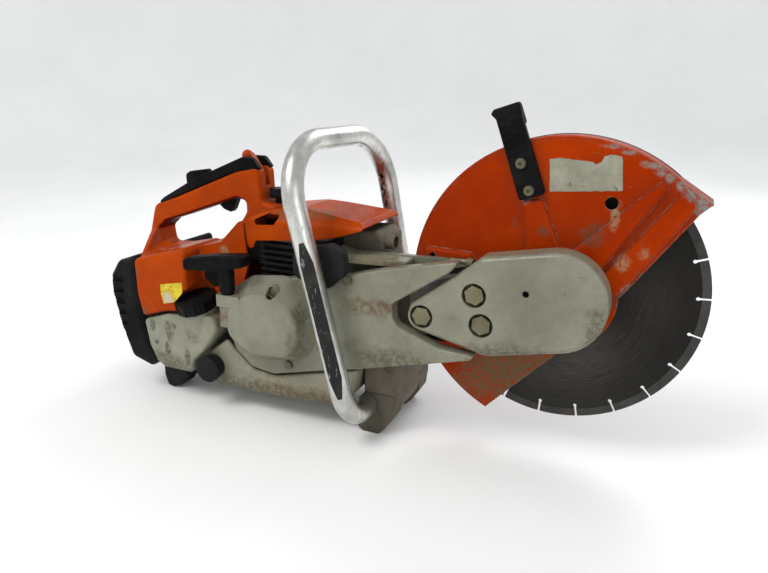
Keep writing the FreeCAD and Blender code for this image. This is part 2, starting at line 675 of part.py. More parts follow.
DOME_TOP = [(-370, 116, 18), (-366, 150, 18), (-342, 168, 20), (-308, 173, 20), (-280, 156, 20),
            (-274, 122, 22),
            (-292, 100, 20), (-340, 97, 24)]


def dome(name, outer, inner, low, high):
    """Domed boss that narrows from its foot to its face."""
    foot = Part.Wire([edge.toShape() for edge in rounded_edges(outer)])
    face = Part.Wire([edge.toShape() for edge in rounded_edges(inner)])
    for wire, level in ((foot, high), (face, low)):
        wire.rotate(V(0, 0, 0), V(1, 0, 0), 90)
        wire.translate(V(0, level, 0))
    return Part.makeLoft([foot, face], True, True)


dome_outer = dome("dome", DOME, DOME_TOP, D.bulge_face, D.starter_face + 0.5)
dome_edges = [edge for edge in dome_outer.Edges if abs(edge.BoundBox.YMin - D.bulge_face) < 0.01
              and abs(edge.BoundBox.YMax - D.bulge_face) < 0.01]
dome_outer = dome_outer.makeFillet(7, dome_edges)
wall = D.cover_wall
dome_inner = dome("dome_room", inset(DOME, wall), inset(DOME_TOP, wall), D.bulge_face + wall,
                  D.starter_face + 0.6)
starter_room = new_body("starter_room_body")
pad(starter_room, "starter_room_pad", "XZ", "starter_face + cover_wall", "starter_face + 17",
    corners=inset(STARTER, D.cover_wall))
ROPE_X, ROPE_Y = -373, -98
rope_hole = rod("rope_hole", "Z", ROPE_X, ROPE_Y, 140, 4.2, 40)
cover_screw_spots = [(-309, 175.5), (-303, 78), (-222, 196)]
FIRST_X, FIRST_Z = cover_screw_spots[0]
screw_holes = [rod("cover_screw_hole_%d" % number, "Y", x, "starter_face - 32", z, 3.2, 60)
               for number, (x, z) in enumerate(cover_screw_spots)]
dome_solid = shaped("dome_solid", dome_outer)
dome_space = shaped("dome_space", dome_inner)
belt_window = block("belt_window", -110, "starter_face + 8", 136, 40, 12, 80)
starter_shell = cut("starter_cut", join("starter_solid", [starter, dome_solid]),
                    [starter_room, dome_space, belt_window])
rotor_post = rod("rotor_pin", "Y", "crank_x", "bulge_face + 1", "crank_z", 6, 16)
rope_tower = join("rope_tower", [block("rope_tower_low", -381, -105, 124, 25, 25, 27),
                                 block("rope_tower_lip", -384, -106.5, 150, 32, 27, 15)])
rope_channel = rod("rope_channel", "X", -379, ROPE_Y, 143, 6, 40)
screw_boss = rod("screw_boss", "Y", FIRST_X, "bulge_face + 9", FIRST_Z, 7.8, 14)
screw_sink = rod("screw_sink", "Y", FIRST_X, "bulge_face - 2", FIRST_Z, 6.5, 16)
finish(cut("starter_drilled", join("starter_casting", [starter_shell, rotor_post, screw_boss, rope_tower]),
           [screw_sink, rope_hole, rope_channel] + screw_holes), "starter_cover")

bush = cut("bush", join("bush_solid", [
    rod("bush_body", "Z", ROPE_X, ROPE_Y, 150, 4.1, 18),
    rod("bush_lip", "Z", ROPE_X, ROPE_Y, 165, 8, 3.5)]),
    [rod("bush_bore", "Z", ROPE_X, ROPE_Y, 140, 2.2, 40)])
finish(bush, "rope_bush")

ROTOR_RADIUS = 27
ROPE_RADIUS = 1.75
rotor_disc = rod("rotor_disc", "Y", "crank_x", -102, "crank_z", ROTOR_RADIUS, 8)
rotor_groove = tube("rotor_groove", "Y", "crank_x", -100, "crank_z", ROTOR_RADIUS + 1, ROTOR_RADIUS - 4, 4)
rotor_bore = rod("rotor_bore", "Y", "crank_x", -104, "crank_z", 6.05, 16)
finish(cut("rotor", rotor_disc, [rotor_groove, rotor_bore]), "rope_rotor")
finish(tube("spring_case", "Y", "crank_x", -93.4, "crank_z", ROTOR_RADIUS, 12, 5), "rewind_spring")

rope_wrap = ROTOR_RADIUS - 4 + ROPE_RADIUS
rope_path = [V(D.crank_x - rope_wrap, ROPE_Y, 146), V(ROPE_X, ROPE_Y, 140), V(ROPE_X, ROPE_Y, 196)]
finish(shaped("rope", swept_round(path_wire(rope_path, [5]), ROPE_RADIUS)), "starter_rope")
grip = new_body("grip_body")
pad(grip, "grip_bar", "XZ", -113, -90,
    corners=[(-427, 190, 5), (-384, 194, 8), (-341, 203, 5), (-340, 218, 6), (-384, 213, 8), (-428, 205, 6)])
soften(grip, "grip_edge", 5, lambda box: on_y(-113)(box) or on_y(-90)(box))
pad(grip, "grip_stem", "XY", 169, 199,
    corners=[(-381, -105, 4), (-365, -105, 4), (-365, -91, 4), (-381, -91, 4)])
pocket(grip, "grip_rope_hole", "XY", 160, 200, spots=[(ROPE_X, ROPE_Y, 2.2)])
finish(grip, "starter_grip")
screws = []
for number, (x, z) in enumerate(cover_screw_spots):
    face = "bulge_face + 14" if number == 0 else "starter_face"
    screws.append(join("cover_screw_%d" % number, [
        rod("cover_screw_head_%d" % number, "Y", x, "%s - 3" % face, z, 5, 3),
        rod("cover_screw_shank_%d" % number, "Y", x, face, z, 3, 26)]))
finish(group("cover_screw_set", screws), "starter_cover_screws")

# ================================================================ engine
ENGINE_MID = 3
BORE_RADIUS = 24.5
FIN_COUNT, FIN_PITCH = 7, 7.5


def crankcase_half(name, low, high):
    """Half of the crankcase, split on the middle plane of the engine."""
    ring = rod(name + "_ring", "Y", "crank_x", low, "crank_z", 46, high - low)
    deck = block(name + "_deck", "crank_x - 42", low, "crank_z", 84, high - low, 40)
    foot = block(name + "_foot", "crank_x - 60", low, 70, 106, high - low, 36)
    return cut(name + "_cut", join(name + "_solid", [ring, deck, foot]), [
        rod(name + "_cavity", "Y", "crank_x", ENGINE_MID - 16, "crank_z", 42, 32),
        rod(name + "_bore", "Y", "crank_x", -60, "crank_z", 20, 120),
        rod(name + "_sleeve", "Z", "crank_x", ENGINE_MID, 150, 30.2, 60)])


finish(crankcase_half("case_right", -30, ENGINE_MID), "crankcase_right")
finish(crankcase_half("case_left", ENGINE_MID, 36), "crankcase_left")
main_bearings = [tube("main_bearing_%d" % number, "Y", "crank_x", level, "crank_z", 19.98, 8, 10)
                 for number, level in enumerate((-28, 24))]
finish(group("bearing_set", spindle_bearings + main_bearings), "ball_bearings")
pin_z = "crank_z + stroke_radius"
finish(join("crank", [
    rod("crank_right", "Y", "crank_x", -74, "crank_z", 8, 64), rod("crank_left", "Y", "crank_x", 14,
                                                                   "crank_z", 8, 62),
    rod("web_right", "Y", "crank_x", -11, "crank_z", 38, 8), rod("web_left", "Y", "crank_x", 9, "crank_z",
                                                                 38, 8),
    rod("crank_pin", "Y", "crank_x", -4, pin_z, 7, 14)]), "crankshaft")
small_z = "crank_z + stroke_radius + rod_length"
rod_solid = join("rod_solid", [
    rod("big_end", "Y", "crank_x", -1.5, pin_z, 12, 9), rod("small_end", "Y", "crank_x", -1.5, small_z, 9, 9),
    block("rod_shank", "crank_x - 5", 0.5, "crank_z + stroke_radius", 10, 5, "rod_length")])
finish(cut("rod", rod_solid, [rod("big_bore", "Y", "crank_x", -5, pin_z, 7.03, 16),
                              rod("small_bore", "Y", "crank_x", -5, small_z, 5.02, 16)]), "connecting_rod")
finish(rod("gudgeon", "Y", "crank_x", ENGINE_MID - 20, small_z, 5, 40), "piston_pin")
piston_solid = rod("piston_skirt", "Z", "crank_x", ENGINE_MID, "crank_z + stroke_radius + rod_length - 14",
                   BORE_RADIUS - 0.1, 32)
finish(cut("piston_cut", piston_solid, [
    rod("piston_room", "Z", "crank_x", ENGINE_MID, "crank_z + stroke_radius + rod_length - 15", 20.5, 28),
    rod("piston_pin_bore", "Y", "crank_x", ENGINE_MID - 30, small_z, 5, 60)]), "piston")
fins = [block("fin_%d" % number, "crank_x - 37", ENGINE_MID - 34, 188 + FIN_PITCH * number, 74, 68,
              2.4) for number in range(FIN_COUNT)]
barrel = [rod("barrel", "Z", "crank_x", ENGINE_MID, 180, 30, 60),
          block("port", "crank_x + 20", ENGINE_MID - 14, 196, 22, 28, 24),
          block("inlet", "crank_x - 42", ENGINE_MID - 14, 192, 22, 28, 24)]
finish(cut("cylinder_cut", join("cylinder_solid", barrel + fins), [
    rod("cylinder_bore", "Z", "crank_x", ENGINE_MID, 160, BORE_RADIUS, 68),
    rod("exhaust_port", "X", "crank_x + 15", ENGINE_MID, 208, 9, 40),
    rod("inlet_port", "X", "crank_x - 50", ENGINE_MID, 204, 9, 40),
    rod("plug_bore", "Z", "crank_x", ENGINE_MID, 220, 5, 30)]), "cylinder")
finish(join("plug", [
    rod("plug_thread", "Z", "crank_x", ENGINE_MID, 228, 5, 13), hexagon("plug_hex", "Z", "crank_x",
                                                                        ENGINE_MID, 240.5,
                                                                 16, 4),
    rod("plug_insulator", "Z", "crank_x", ENGINE_MID, 244, 3.5, 8)]), "spark_plug")
finish(cut("boot", join("boot_solid", [
    rod("boot_cap", "Z", "crank_x", ENGINE_MID, 245, 8, 12), rod("boot_tail", "X", "crank_x - 22",
                                                                 ENGINE_MID, 250.5, 4,
                                                          22)]),
    [rod("boot_bore", "Z", "crank_x", ENGINE_MID, 240, 3.6, 12.5)]), "spark_plug_boot")

muffler = new_body("muffler_body")
MUFFLER = [(-258, 150, 8), (-258, 240, 8), (-214, 242, 8), (-203, 234, 8), (-203, 160, 12)]
pad(muffler, "muffler_shell", "XZ", -24, 36, corners=MUFFLER)
soften(muffler, "muffler_edge", 5, lambda box: on_y(-24)(box) or on_y(36)(box))
pocket(muffler, "muffler_room", "XZ", -21, 33, corners=inset(MUFFLER, 3))
pad(muffler, "muffler_outlet", "YZ", -206, -192, spots=[(-12, 229, 9)])
pocket(muffler, "muffler_outlet_bore", "YZ", -198, -191, spots=[(-12, 229, 7)])
finish(muffler, "muffler")
finish(cut("carb", join("carb_solid", [
    block("carb_body", -397, ENGINE_MID - 18, 186, 32, 33, 34), rod("carb_pump", "Z", -381, ENGINE_MID,
                                                                    220, 12, 5),
    rod("carb_bowl", "Z", -381, ENGINE_MID, 180, 14, 7)]),
    [rod("carb_bore", "X", -400, ENGINE_MID, 204, 9, 40)]), "carburettor")
finish(tube("intake", "X", -365, ENGINE_MID, 204, 13, 9, 12.8), "intake_boot")


def flywheel():
    """Flywheel disc with radial fan blades on its outer side."""
    centre = V(D.crank_x, 44, D.crank_z)
    disc = Part.makeCylinder(60, 8, centre, V(0, 1, 0))
    hub = Part.makeCylinder(16, 26, centre, V(0, 1, 0))
    solid = disc.fuse(hub)
    blades = []
    blade_count = 14
    for number in range(blade_count):
        blade = Part.makeBox(34, 18, 3, V(D.crank_x + 24, 51, D.crank_z - 1.5))
        blade.rotate(centre, V(0, 1, 0), number * 360 / blade_count)
        blades.append(blade)
    solid = solid.fuse(blades)
    return solid.cut(Part.makeCylinder(8, 40, centre - V(0, 5, 0), V(0, 1, 0)))


finish(shaped("fan", flywheel()), "flywheel")
finish(join("coil",
            [block("coil_core", -332, 44, 202, 44, 8, 5),
             block("coil_case", -326, 42, 204, 32, 16, 6.5)]),
       "ignition_coil")
FAN_CASE = [(-392, 96, 20), (-392, 176, 30), (-340, 214, 30), (-264, 214, 20), (-238, 170, 20),
            (-238, 92, 14),
            (-300, 66, 30)]
fan_case = new_body("fan_case_body")
pad(fan_case, "fan_case_pad", "XZ", 38, 92, corners=FAN_CASE)
soften(fan_case, "fan_case_round", 8, on_y(92))
pocket(fan_case, "fan_case_room", "XZ", 37, 89, corners=inset(FAN_CASE, 3))
vents = [(D.crank_x + radius * math.cos(math.radians(angle)),
          D.crank_z + radius * math.sin(math.radians(angle)), 4.5)
         for radius, step in ((20, 60), (34, 36), (48, 24)) for angle in range(0, 360, step)]
pocket(fan_case, "fan_case_vents", "XZ", 86, 94, spots=vents)
finish(fan_case, "fan_housing")

# ================================================================ rear body, tank and handle
TANK = [(-519, 106, 6), (-481, 119, 8), (-462, 121, 8), (-388, 129, 14), (-426, 74, 14), (-440, 62, 6),
        (-446, 43, 6),
        (-490, 43, 8), (-503, 50, 6), (-513, 72, 10)]
tank_edge = D.body_half - 1
tank = new_body("tank_body")
pad(tank, "tank_pad", "XZ", -tank_edge, tank_edge, corners=TANK)
soften(tank, "tank_round", 4, on_either_y(tank_edge))
tank_room = new_body("tank_room_body")
pad(tank_room, "tank_room_pad", "XZ", -tank_edge + 3, tank_edge - 3, corners=inset(TANK, 3))
NECK_TURN = FreeCAD.Rotation(V(1, 0, 0), 15).multiply(FreeCAD.Rotation(V(0, 1, 0), -7))
neck_spot = V(-436.5, -66, 107)
neck_axis = NECK_TURN.multVec(V(0, 0, 1))


def tilted(name, start, radius, length):
    """Cylinder on the slanted axis of the filler neck."""
    spot = neck_spot + neck_axis * start
    target = rod(name, "Z", spot.x, spot.y, spot.z, radius, length)
    target.Placement = FreeCAD.Placement(spot, NECK_TURN)
    return target


finish(cut("tank_cut", join("tank_solid", [tank, tilted("neck", -16, 23.5, 40)]),
           [tank_room, tilted("neck_bore", -10, 16, 46)]), "fuel_tank")
cap_ribs = []
CAP_RIB_COUNT = 12
for number in range(CAP_RIB_COUNT):
    angle = number * 360 / CAP_RIB_COUNT
    rib = tilted("cap_rib_%d" % number, 24.5, 2, 14)
    side = NECK_TURN.multVec(V(24.4 * math.cos(math.radians(angle)), 24.4 * math.sin(math.radians(angle)), 0))
    spot = neck_spot + neck_axis * 24.5 + side
    for prop, value in (("x", spot.x), ("y", spot.y), ("z", spot.z)):
        bind(rib, "Placement.Base." + prop, value)
    cap_ribs.append(rib)
cap_solid = join("cap_solid", [tilted("cap_top", 24.5, 25, 14), tilted("cap_plug", 8, 15.7, 17)] + cap_ribs)
finish(cap_solid, "fuel_cap")

VALVE_X, VALVE_Y = -361, 2
CHOKE_X, CHOKE_Z = -412, 178
COMBI_X, COMBI_Z = -388, 292.5
TRIGGER_X, TRIGGER_Z = -421, 266
LOCK_X, LOCK_Z = -467, 283
HOUSING = [(-527, 187, 8), (-444, 210, 8), (-444, 123, 6), (-462, 124.5, 6), (-481, 121.5, 8),
           (-519, 109.5, 6),
           (-526, 140, 20)]
housing = new_body("housing_body")
pad(housing, "housing_wide", "XZ", "-body_half", "body_half", corners=HOUSING)
soften(housing, "housing_round", 5, on_either_y(D.body_half))


def far_shoulder(name, drop):
    """Wedge that slopes the top of the rear housing down towards its left side."""
    wedge = new_body(name)
    pad(wedge, name + "_pad", "YZ", -540, -443,
        corners=[(-20, 212 - drop, 0), (95, 146 - drop, 0), (95, 240, 0), (-20, 240, 0)])
    return wedge


def flared_root(name, gap):
    """Foot of the handle that widens towards the right side of the rear housing."""
    at_handle = [(-564 - gap, 180 - gap), (-554 - gap, 214), (-545, 216 + gap), (-540, 198), (-516, 191),
                 (-516, 180)]
    at_side = [(-526 - gap, 176 - gap), (-526 - gap, 186), (-522, 187 + gap), (-515, 189), (-508, 191),
               (-508, 178)]
    wires = []
    for outline, level in ((at_handle, -17), (at_side, -76 - gap)):
        wires.append(Part.makePolygon([V(x, level, z) for x, z in outline + outline[:1]]))
    return shaped(name, Part.makeLoft(wires, True, True))


housing_wide = cut("housing_sloped", housing, [far_shoulder("shoulder", 0)])
HOUSING_FRONT = [(-446, 206, 2), (-410, 216, 8), (-375, 251, 5), (-371, 190, 10), (-382, 152, 6),
                 (-392, 134, 4),
                 (-446, 134, 2)]
pad(housing, "housing_front", "XZ", -58, 36, corners=HOUSING_FRONT)
HANDLE = [(-568, 177.5, 7), (-547, 246, 14), (-511, 258, 40), (-412, 298, 20), (-376, 307, 8),
          (-374, 263, 5), (-354, 258.5, 4),
          (-366, 172, 8), (-526, 168, 6), (-527, 177.5, 2)]
GRIP_HOLE = [(-544, 212, 8), (-530, 224, 6), (-494, 236, 10), (-412, 265, 8), (-398, 262, 6), (-398, 248, 8),
             (-420, 216, 12), (-446, 204, 10), (-500, 192, 10), (-541, 190, 8)]
handle = new_body("handle_body")
pad(handle, "handle_loop", "XZ", "-handle_half", "handle_half", corners=HANDLE)
pocket(handle, "grip_hole", "XZ", -40, 40, corners=GRIP_HOLE)
soften(handle, "handle_round", 5, on_either_y(D.handle_half))
housing_room = new_body("housing_room_body")
pad(housing_room, "housing_room_wide", "XZ", "-body_half + 3", "body_half - 3",
    corners=[(-523, 183, 6), (-500, 191, 4), (-450, 192, 8), (-447, 126, 2), (-462, 127.5, 4),
             (-481, 124.5, 8), (-515, 113, 3)])
housing_front_room = new_body("front_room_body")
pad(housing_front_room, "front_room_pad", "XZ", -54, 32,
    corners=[(-450, 138, 0), (-450, 201, 0), (-411, 211, 4), (-378, 243, 0), (-351, 243, 0), (-351, 138, 0)])
valve_guide = rod("valve_guide", "Z", VALVE_X, VALVE_Y, 196, 9, 62)
valve_bore = rod("valve_bore", "Z", VALVE_X, VALVE_Y, 240, 4.1, 30)
choke_bore = rod("choke_bore", "Y", CHOKE_X, -70, CHOKE_Z, 3.05, 30)
pin_bore = rod("combi_pin_bore", "Y", COMBI_X, -9.6, COMBI_Z, 2.05, 19.2)
neck_room = tilted("neck_room", -17, 24.5, 43)
cap_room = tilted("cap_room", 22, 27.6, 32)
trigger_slot = block("trigger_slot", -456, -5, 240, 42, 10, 46)
trigger_bore = rod("trigger_bore", "Y", TRIGGER_X, -8.2, TRIGGER_Z, 2.05, 16.4)
lock_bore = rod("lock_bore", "Y", LOCK_X, -7.2, LOCK_Z, 1.55, 14.4)
lever_slot = block("lever_slot", -416, -5, 282, 44, 10, 30)
lock_slot = block("lock_slot", -506, -5, 256, 44, 10, 30)
# Walls stay around the filler neck and its cap, so they stand in a cup.
neck_walls = join("neck_walls", [tilted("neck_wall", -20, 27, 46), tilted("cap_wall", 19, 30.5, 38)])
room_sloped = cut("room_sloped", housing_room, [far_shoulder("room_shoulder", 3.5), neck_walls])
front_room = cut("front_room", housing_front_room, [neck_walls])
rear_shell = cut("rear_shell", join("rear_solid", [housing_wide, handle, valve_guide,
                                                   flared_root("handle_root", 0)]),
                 [room_sloped, front_room, trigger_slot, lever_slot, lock_slot, valve_bore,
                  choke_bore,
                  pin_bore, neck_room, cap_room, trigger_bore, lock_bore])
finish(rear_shell, "rear_housing")

PAD_TOP = [(-547, 243, 2), (-532, 256, 8), (-484, 282, 30), (-452, 296, 30), (-402, 317, 12),
           (-386, 317, 8), (-375, 303, 2)]
grip_pad = new_body("grip_pad_body")
pad(grip_pad, "grip_pad_pad", "XZ", -17.5, 17.5, corners=PAD_TOP + [(-413, 298.8, 20), (-511.5, 258.7, 40)])
soften(grip_pad, "grip_pad_round", 1.5, on_either_y(17.5))
pad_slots = [block("pad_lever_slot", -418, -10, 270, 42, 20, 60),
             block("pad_lock_slot", -506, -5, 256, 46, 10, 60),
             rod("pad_pin_bore", "Y", LOCK_X, -7.2, LOCK_Z, 1.55, 14.4)]
finish(cut("grip_pad_cut", grip_pad, [handle] + pad_slots), "grip_pad")

trigger = new_body("trigger_body")
pad(trigger, "trigger_blade", "XZ", -4.5, 4.5,
    corners=[(-452, 268, 2), (-452, 255, 3), (-442, 246, 3), (-431, 243, 2), (-427, 247, 2),
             (-420, 262, 4), (-418, 272, 3)])
trigger_pin = rod("trigger_pin", "Y", TRIGGER_X, -8, TRIGGER_Z, 2, 16)
finish(join("trigger_solid", [trigger, trigger_pin]), "throttle_trigger")
lock = new_body("lock_body")
pad(lock, "lock_blade", "XZ", -4.5, 4.5,
    corners=[(-500, 266, 2), (-501, 288, 4), (-494, 292.5, 3), (-466, 297, 3), (-463, 284, 3),
             (-470, 280, 4)])
finish(join("lock_solid", [lock, rod("lock_pin", "Y", LOCK_X, -7, LOCK_Z, 1.5, 14)]), "throttle_lockout")

combi = new_body("combi_body")
pad(combi, "combi_arm", "XZ", -4, 4,
    corners=[(-411, 313, 3), (-409, 321, 3), (-398, 322, 4), (-383, 303, 6), (-381, 288, 4),
             (-392, 288, 4), (-397, 304, 6)])
combi_ball = ball("combi_ball", -404, 0, 318, 7)
finish(join("combi_solid", [combi, combi_ball, rod("combi_pin", "Y", COMBI_X, -9, COMBI_Z, 2, 18)]),
       "combi_lever")

finish(join("valve",
            [rod("valve_stem", "Z", VALVE_X, VALVE_Y, 248, 4, 20),
             rod("valve_cap", "Z", VALVE_X, VALVE_Y, 267, 10.5, 12),
             rod("valve_rim", "Z", VALVE_X, VALVE_Y, 270, 11.4, 3)]),
       "decompression_valve")

side_lever = new_body("side_lever_body")
pad(side_lever, "side_lever_pad", "XZ", -74, -60,
    corners=[(-427, 172, 5), (-425, 189, 5), (-402, 190, 5), (-402, 168, 5), (-411, 160, 5)])
soften(side_lever, "side_lever_round", 3, on_y(-74))
pad(side_lever, "side_lever_pin", "XZ", -60.5, -54.5, spots=[(CHOKE_X, CHOKE_Z, 3)])
finish(side_lever, "choke_lever")

FILTER = [(-529, 191, 4), (-560, 180, 12), (-574, 160, 10), (-575.5, 138, 40), (-566, 92, 20),
          (-549, 46, 12), (-518, 37, 6),
          (-505, 46, 3), (-516, 72, 10), (-522, 108, 10), (-529, 140, 20)]
filter_edge = D.body_half - 3
filter_body = new_body("filter_body")
pad(filter_body, "filter_pad", "XZ", -filter_edge, filter_edge, corners=FILTER)
soften(filter_body, "filter_round", 10, lambda box: on_either_y(filter_edge)(box) and box.XMax < -530)
filter_room = new_body("filter_room_body")
pad(filter_room, "filter_room_pad", "XZ", -filter_edge + 9, filter_edge - 9,
    corners=[(-500, 180, 0), (-552, 171, 8), (-564, 152, 8), (-565, 138, 20), (-556, 94, 12),
             (-542, 56, 6), (-500, 60, 0)])
grooves = []
GROOVE_COUNT, GROOVE_PITCH = 7, 15
for number in range(GROOVE_COUNT):
    level = 62 + GROOVE_PITCH * number
    grooves.append(block("filter_groove_%d" % number, -600, -76, level, 38,
                         152, 8))
for side, low_y in (("near", -90), ("far", 80)):
    for number in range(1, GROOVE_COUNT):
        grooves.append(block("side_groove_%s_%d" % (side, number), -600, low_y, 62 + GROOVE_PITCH * number,
                             50, 10, 8))
handle_notch = block("handle_notch", -600, -20, 176.5, 80, 40, 30)
finish(cut("filter_cut", filter_body, [filter_room, handle_notch, flared_root("root_notch", 0.6)] + grooves),
       "filter_cover")
PLEAT_COUNT, PLEAT_PITCH = 12, 11
pleats = [block("pleat_%d" % number, -547, -66 + PLEAT_PITCH * number, 80, 12, 6, 76)
          for number in range(PLEAT_COUNT)]
finish(join("element", [block("element_frame", -537, -68, 62, 8, 138, 98)] + pleats), "air_filter")

# ================================================================ engine shroud
SHROUD = [(-366, 214, 3), (-369, 222, 4), (-371.5, 248, 6), (-352, 257, 8), (-300, 266, 16), (-219, 257, 5),
          (-212, 250, 2), (-250, 237.5, 3), (-284, 231, 4), (-356, 224, 4), (-361, 214, 2)]
SHROUD_FRONT = [(-60, 200, 0), (-60, 250, 10), (-42, 266, 12), (30, 266, 20), (60, 238, 14), (60, 200, 0)]
shroud_side = new_body("shroud_side_body")
pad(shroud_side, "shroud_side_pad", "XZ", "-shroud_half", "shroud_half", corners=SHROUD)
shroud_end = new_body("shroud_end_body")
pad(shroud_end, "shroud_end_pad", "YZ", -380, -160, corners=SHROUD_FRONT)
shroud = doc.addObject("Part::MultiCommon", "shroud_block")
shroud.Shapes = [shroud_side, shroud_end]
room_side = new_body("room_side_body")
pad(room_side, "room_side_pad", "XZ", -59, 59,
    corners=[(-373, 200, 0), (-366.5, 222, 3), (-368, 246, 4), (-350.5, 254.3, 6), (-300, 263.5, 14),
             (-221, 254.6, 3),
             (-205, 246, 0), (-205, 200, 0)])
room_end = new_body("room_end_body")
pad(room_end, "room_end_pad", "YZ", -380, -160,
    corners=[(-57.5, 190, 0)] + inset(SHROUD_FRONT, 2.5)[1:5] + [(57.5, 190, 0)])
shroud_room = doc.addObject("Part::MultiCommon", "shroud_room")
shroud_room.Shapes = [room_side, room_end]
side_window = new_body("side_window_body")
pad(side_window, "side_window_pad", "XZ", -70, -50,
    corners=[(-356, 243, 3), (-358, 249, 3), (-338, 259, 5), (-323, 257, 4), (-330, 245, 3)])
handle_room = block("handle_room", -380, "-handle_half - 1", 190, 32, "2 * handle_half + 2", 76)
valve_room = rod("valve_room", "Z", VALVE_X, VALVE_Y, 190, 12, 110)
finish(cut("shroud_cut", shroud, [shroud_room, side_window, handle_room, valve_room]), "engine_shroud")

louvre = [block("louvre_back", -349, -54, 180, 74, 3, 42)]
for number in range(6):
    louvre.append(block("louvre_fin_%d" % number, -349, -61.5, 181 + 7.6 * number, 74, 8, 3))
finish(join("louvres", louvre), "cooling_louvres")

# ================================================================ frame, feet and handlebar
BASE = [(-421, 76, 6), (-432, 58, 14), (-421, 29, 8), (-330, 30, 20), (-250, 35, 8), (-219, 52, 8),
        (-212, 87, 3),
        (-262, 74, 20), (-325, 58, 12), (-358.5, 61.5, 16), (-384, 83, 10), (-396, 95, 6)]
base = new_body("base_body")
pad(base, "base_pad", "XZ", -76, 80, corners=BASE)
soften(base, "base_round", 4, lambda box: (on_y(-76)(box) or on_y(80)(box)) and box.ZMin > 20)
base_room = block("base_room", -400, -72, 38, 168, 148, 60)
PLUG_X, PLUG_Z = -416, 56
plug_hole = rod("plug_hole", "Y", PLUG_X, -90, PLUG_Z, 15, 20)
finish(cut("base_cut", base, [base_room, plug_hole]), "base_frame")
upper_buffer = new_body("upper_buffer_body")
pad(upper_buffer, "upper_buffer_pad", "XZ", -92, -79,
    corners=[(-288, 196, 14), (-286, 226, 14), (-240, 238, 10), (-222, 230, 10), (-220, 206, 12),
             (-246, 182, 16)])
soften(upper_buffer, "upper_buffer_round", 4, on_y(-92))
finish(group("buffer_set", [
    join("plug_front",
         [rod("plug_body", "Y", PLUG_X, -90, PLUG_Z, 14.9, 19.5),
                        rod("plug_rim", "Y", PLUG_X, -93, PLUG_Z, 17, 6)]),
    upper_buffer,
    rod("buffer_tank", "X", -390, 50, 60, 14, 18)]), "rubber_buffers")

support = new_body("support_body")
pad(support, "support_bar", "XZ", -57, 57,
    corners=[(-211, 22, 6), (-178, 20, 8), (-171, 42, 8), (-178, 78, 10), (-196, 97, 4), (-226, 97, 3),
             (-226, 89, 2),
             (-211, 86, 3)])
SUPPORT_FOOT = [(-219, 5, 5), (-213, 0, 5), (-192, 0, 6), (-184, 8, 6), (-174, 24, 6), (-171, 52, 4),
                (-211, 52, 4), (-219, 42, 4)]
pad(support, "support_foot_near", "XZ", -58, -30, corners=SUPPORT_FOOT)
pad(support, "support_foot_far", "XZ", 30, 58, corners=SUPPORT_FOOT)
pocket(support, "support_window", "XZ", -30, 90,
       corners=[(-208, 60, 5), (-188, 60, 5), (-194, 82, 5), (-210, 82, 5)])
BAR_X, BAR_Z = -206, 36
bar_sockets = [rod("bar_socket_near", "Y", BAR_X, -76, BAR_Z, "bar_radius + 0.05", 36),
               rod("bar_socket_far", "Y", BAR_X, 40, BAR_Z, "bar_radius + 0.05", 36)]
finish(cut("support_cut", support, bar_sockets), "front_support")

FOOT = [(-517, 30, 3), (-517, 16, 3), (-512, 2, 3), (-503, 0, 4), (-492, 4, 4), (-480, 20, 3),
        (-480, 42, 2), (-500, 44, 2)]
foot = new_body("foot_body")
pad(foot, "foot_pad", "XZ", -58, -30, corners=FOOT)
pad(foot, "foot_pad_far", "XZ", 30, 58, corners=FOOT)
pad(foot, "foot_tie", "XZ", -31, 31, corners=[(-510, 26, 2), (-490, 26, 2), (-490, 40, 2), (-510, 40, 2)])
finish(foot, "rear_foot")

half = D.bar_half
bar_points = [V(BAR_X, -40, BAR_Z), V(BAR_X, -half - 2, BAR_Z), V(-288, -half, 346), V(-266, half - 4, 346),
              V(BAR_X, half - 4, BAR_Z), V(BAR_X, 40, BAR_Z)]
bar_wire = path_wire(bar_points, [36, 70, 70, 36])
bar_round = swept_round(bar_wire, D.bar_radius)
leg_low, leg_high = bar_points[1], bar_points[2]
leg = (leg_high - leg_low).normalize()
outward = V(0.34, -0.94, 0)
outward = (outward - leg * outward.dot(leg)).normalize()
STRIP_RADIUS, STRIP_TAPER, STRIP_LENGTH = 7.5, 24, 132
strip_from = leg_low + leg * 34 + outward * 9.5
strip_to = strip_from + leg * (STRIP_TAPER + STRIP_LENGTH)
insert_core = Part.makeCylinder(STRIP_RADIUS, STRIP_LENGTH, strip_from + leg * STRIP_TAPER, leg)
insert_core = insert_core.fuse([
    Part.makeCone(STRIP_RADIUS / 2, STRIP_RADIUS, STRIP_TAPER, strip_from, leg),
    Part.makeCone(STRIP_RADIUS, STRIP_RADIUS / 2, STRIP_TAPER, strip_to, leg)])
finish(shaped("bar", swept_round(bar_wire, D.bar_radius, D.bar_radius - D.bar_wall).cut(insert_core)),
       "handlebar")
finish(shaped("insert", insert_core.common(bar_round)), "handlebar_insert")

# ================================================================ checks and files
print("%-24s %10s" % ("node", "volume"))
doc.recompute()
failed = [item.Name for item in doc.Objects if "Invalid" in item.State or "Error" in item.State]
if failed:
    raise SystemExit("failed features: " + ", ".join(failed))
os.makedirs("parts", exist_ok=True)
box = FreeCAD.BoundBox()
for node in NODES:
    shape = node.Shape
    if shape.isNull() or not shape.isValid() or not shape.Solids:
        raise SystemExit("bad shape: " + node.Label)
    shape.exportStep("parts/%s.step" % node.Label)
    exact = shape.optimalBoundingBox(False)
    box.add(exact)
    print("%-24s %10.0f mm3, %d solids" % (node.Label, shape.Volume, len(shape.Solids)))
print("nodes", len(NODES), "box", box)
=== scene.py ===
"""Hand-held petrol cut-off saw: finishes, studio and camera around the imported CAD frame."""
import json
import math
import random

import bpy
import bmesh
from mathutils import Matrix, Vector


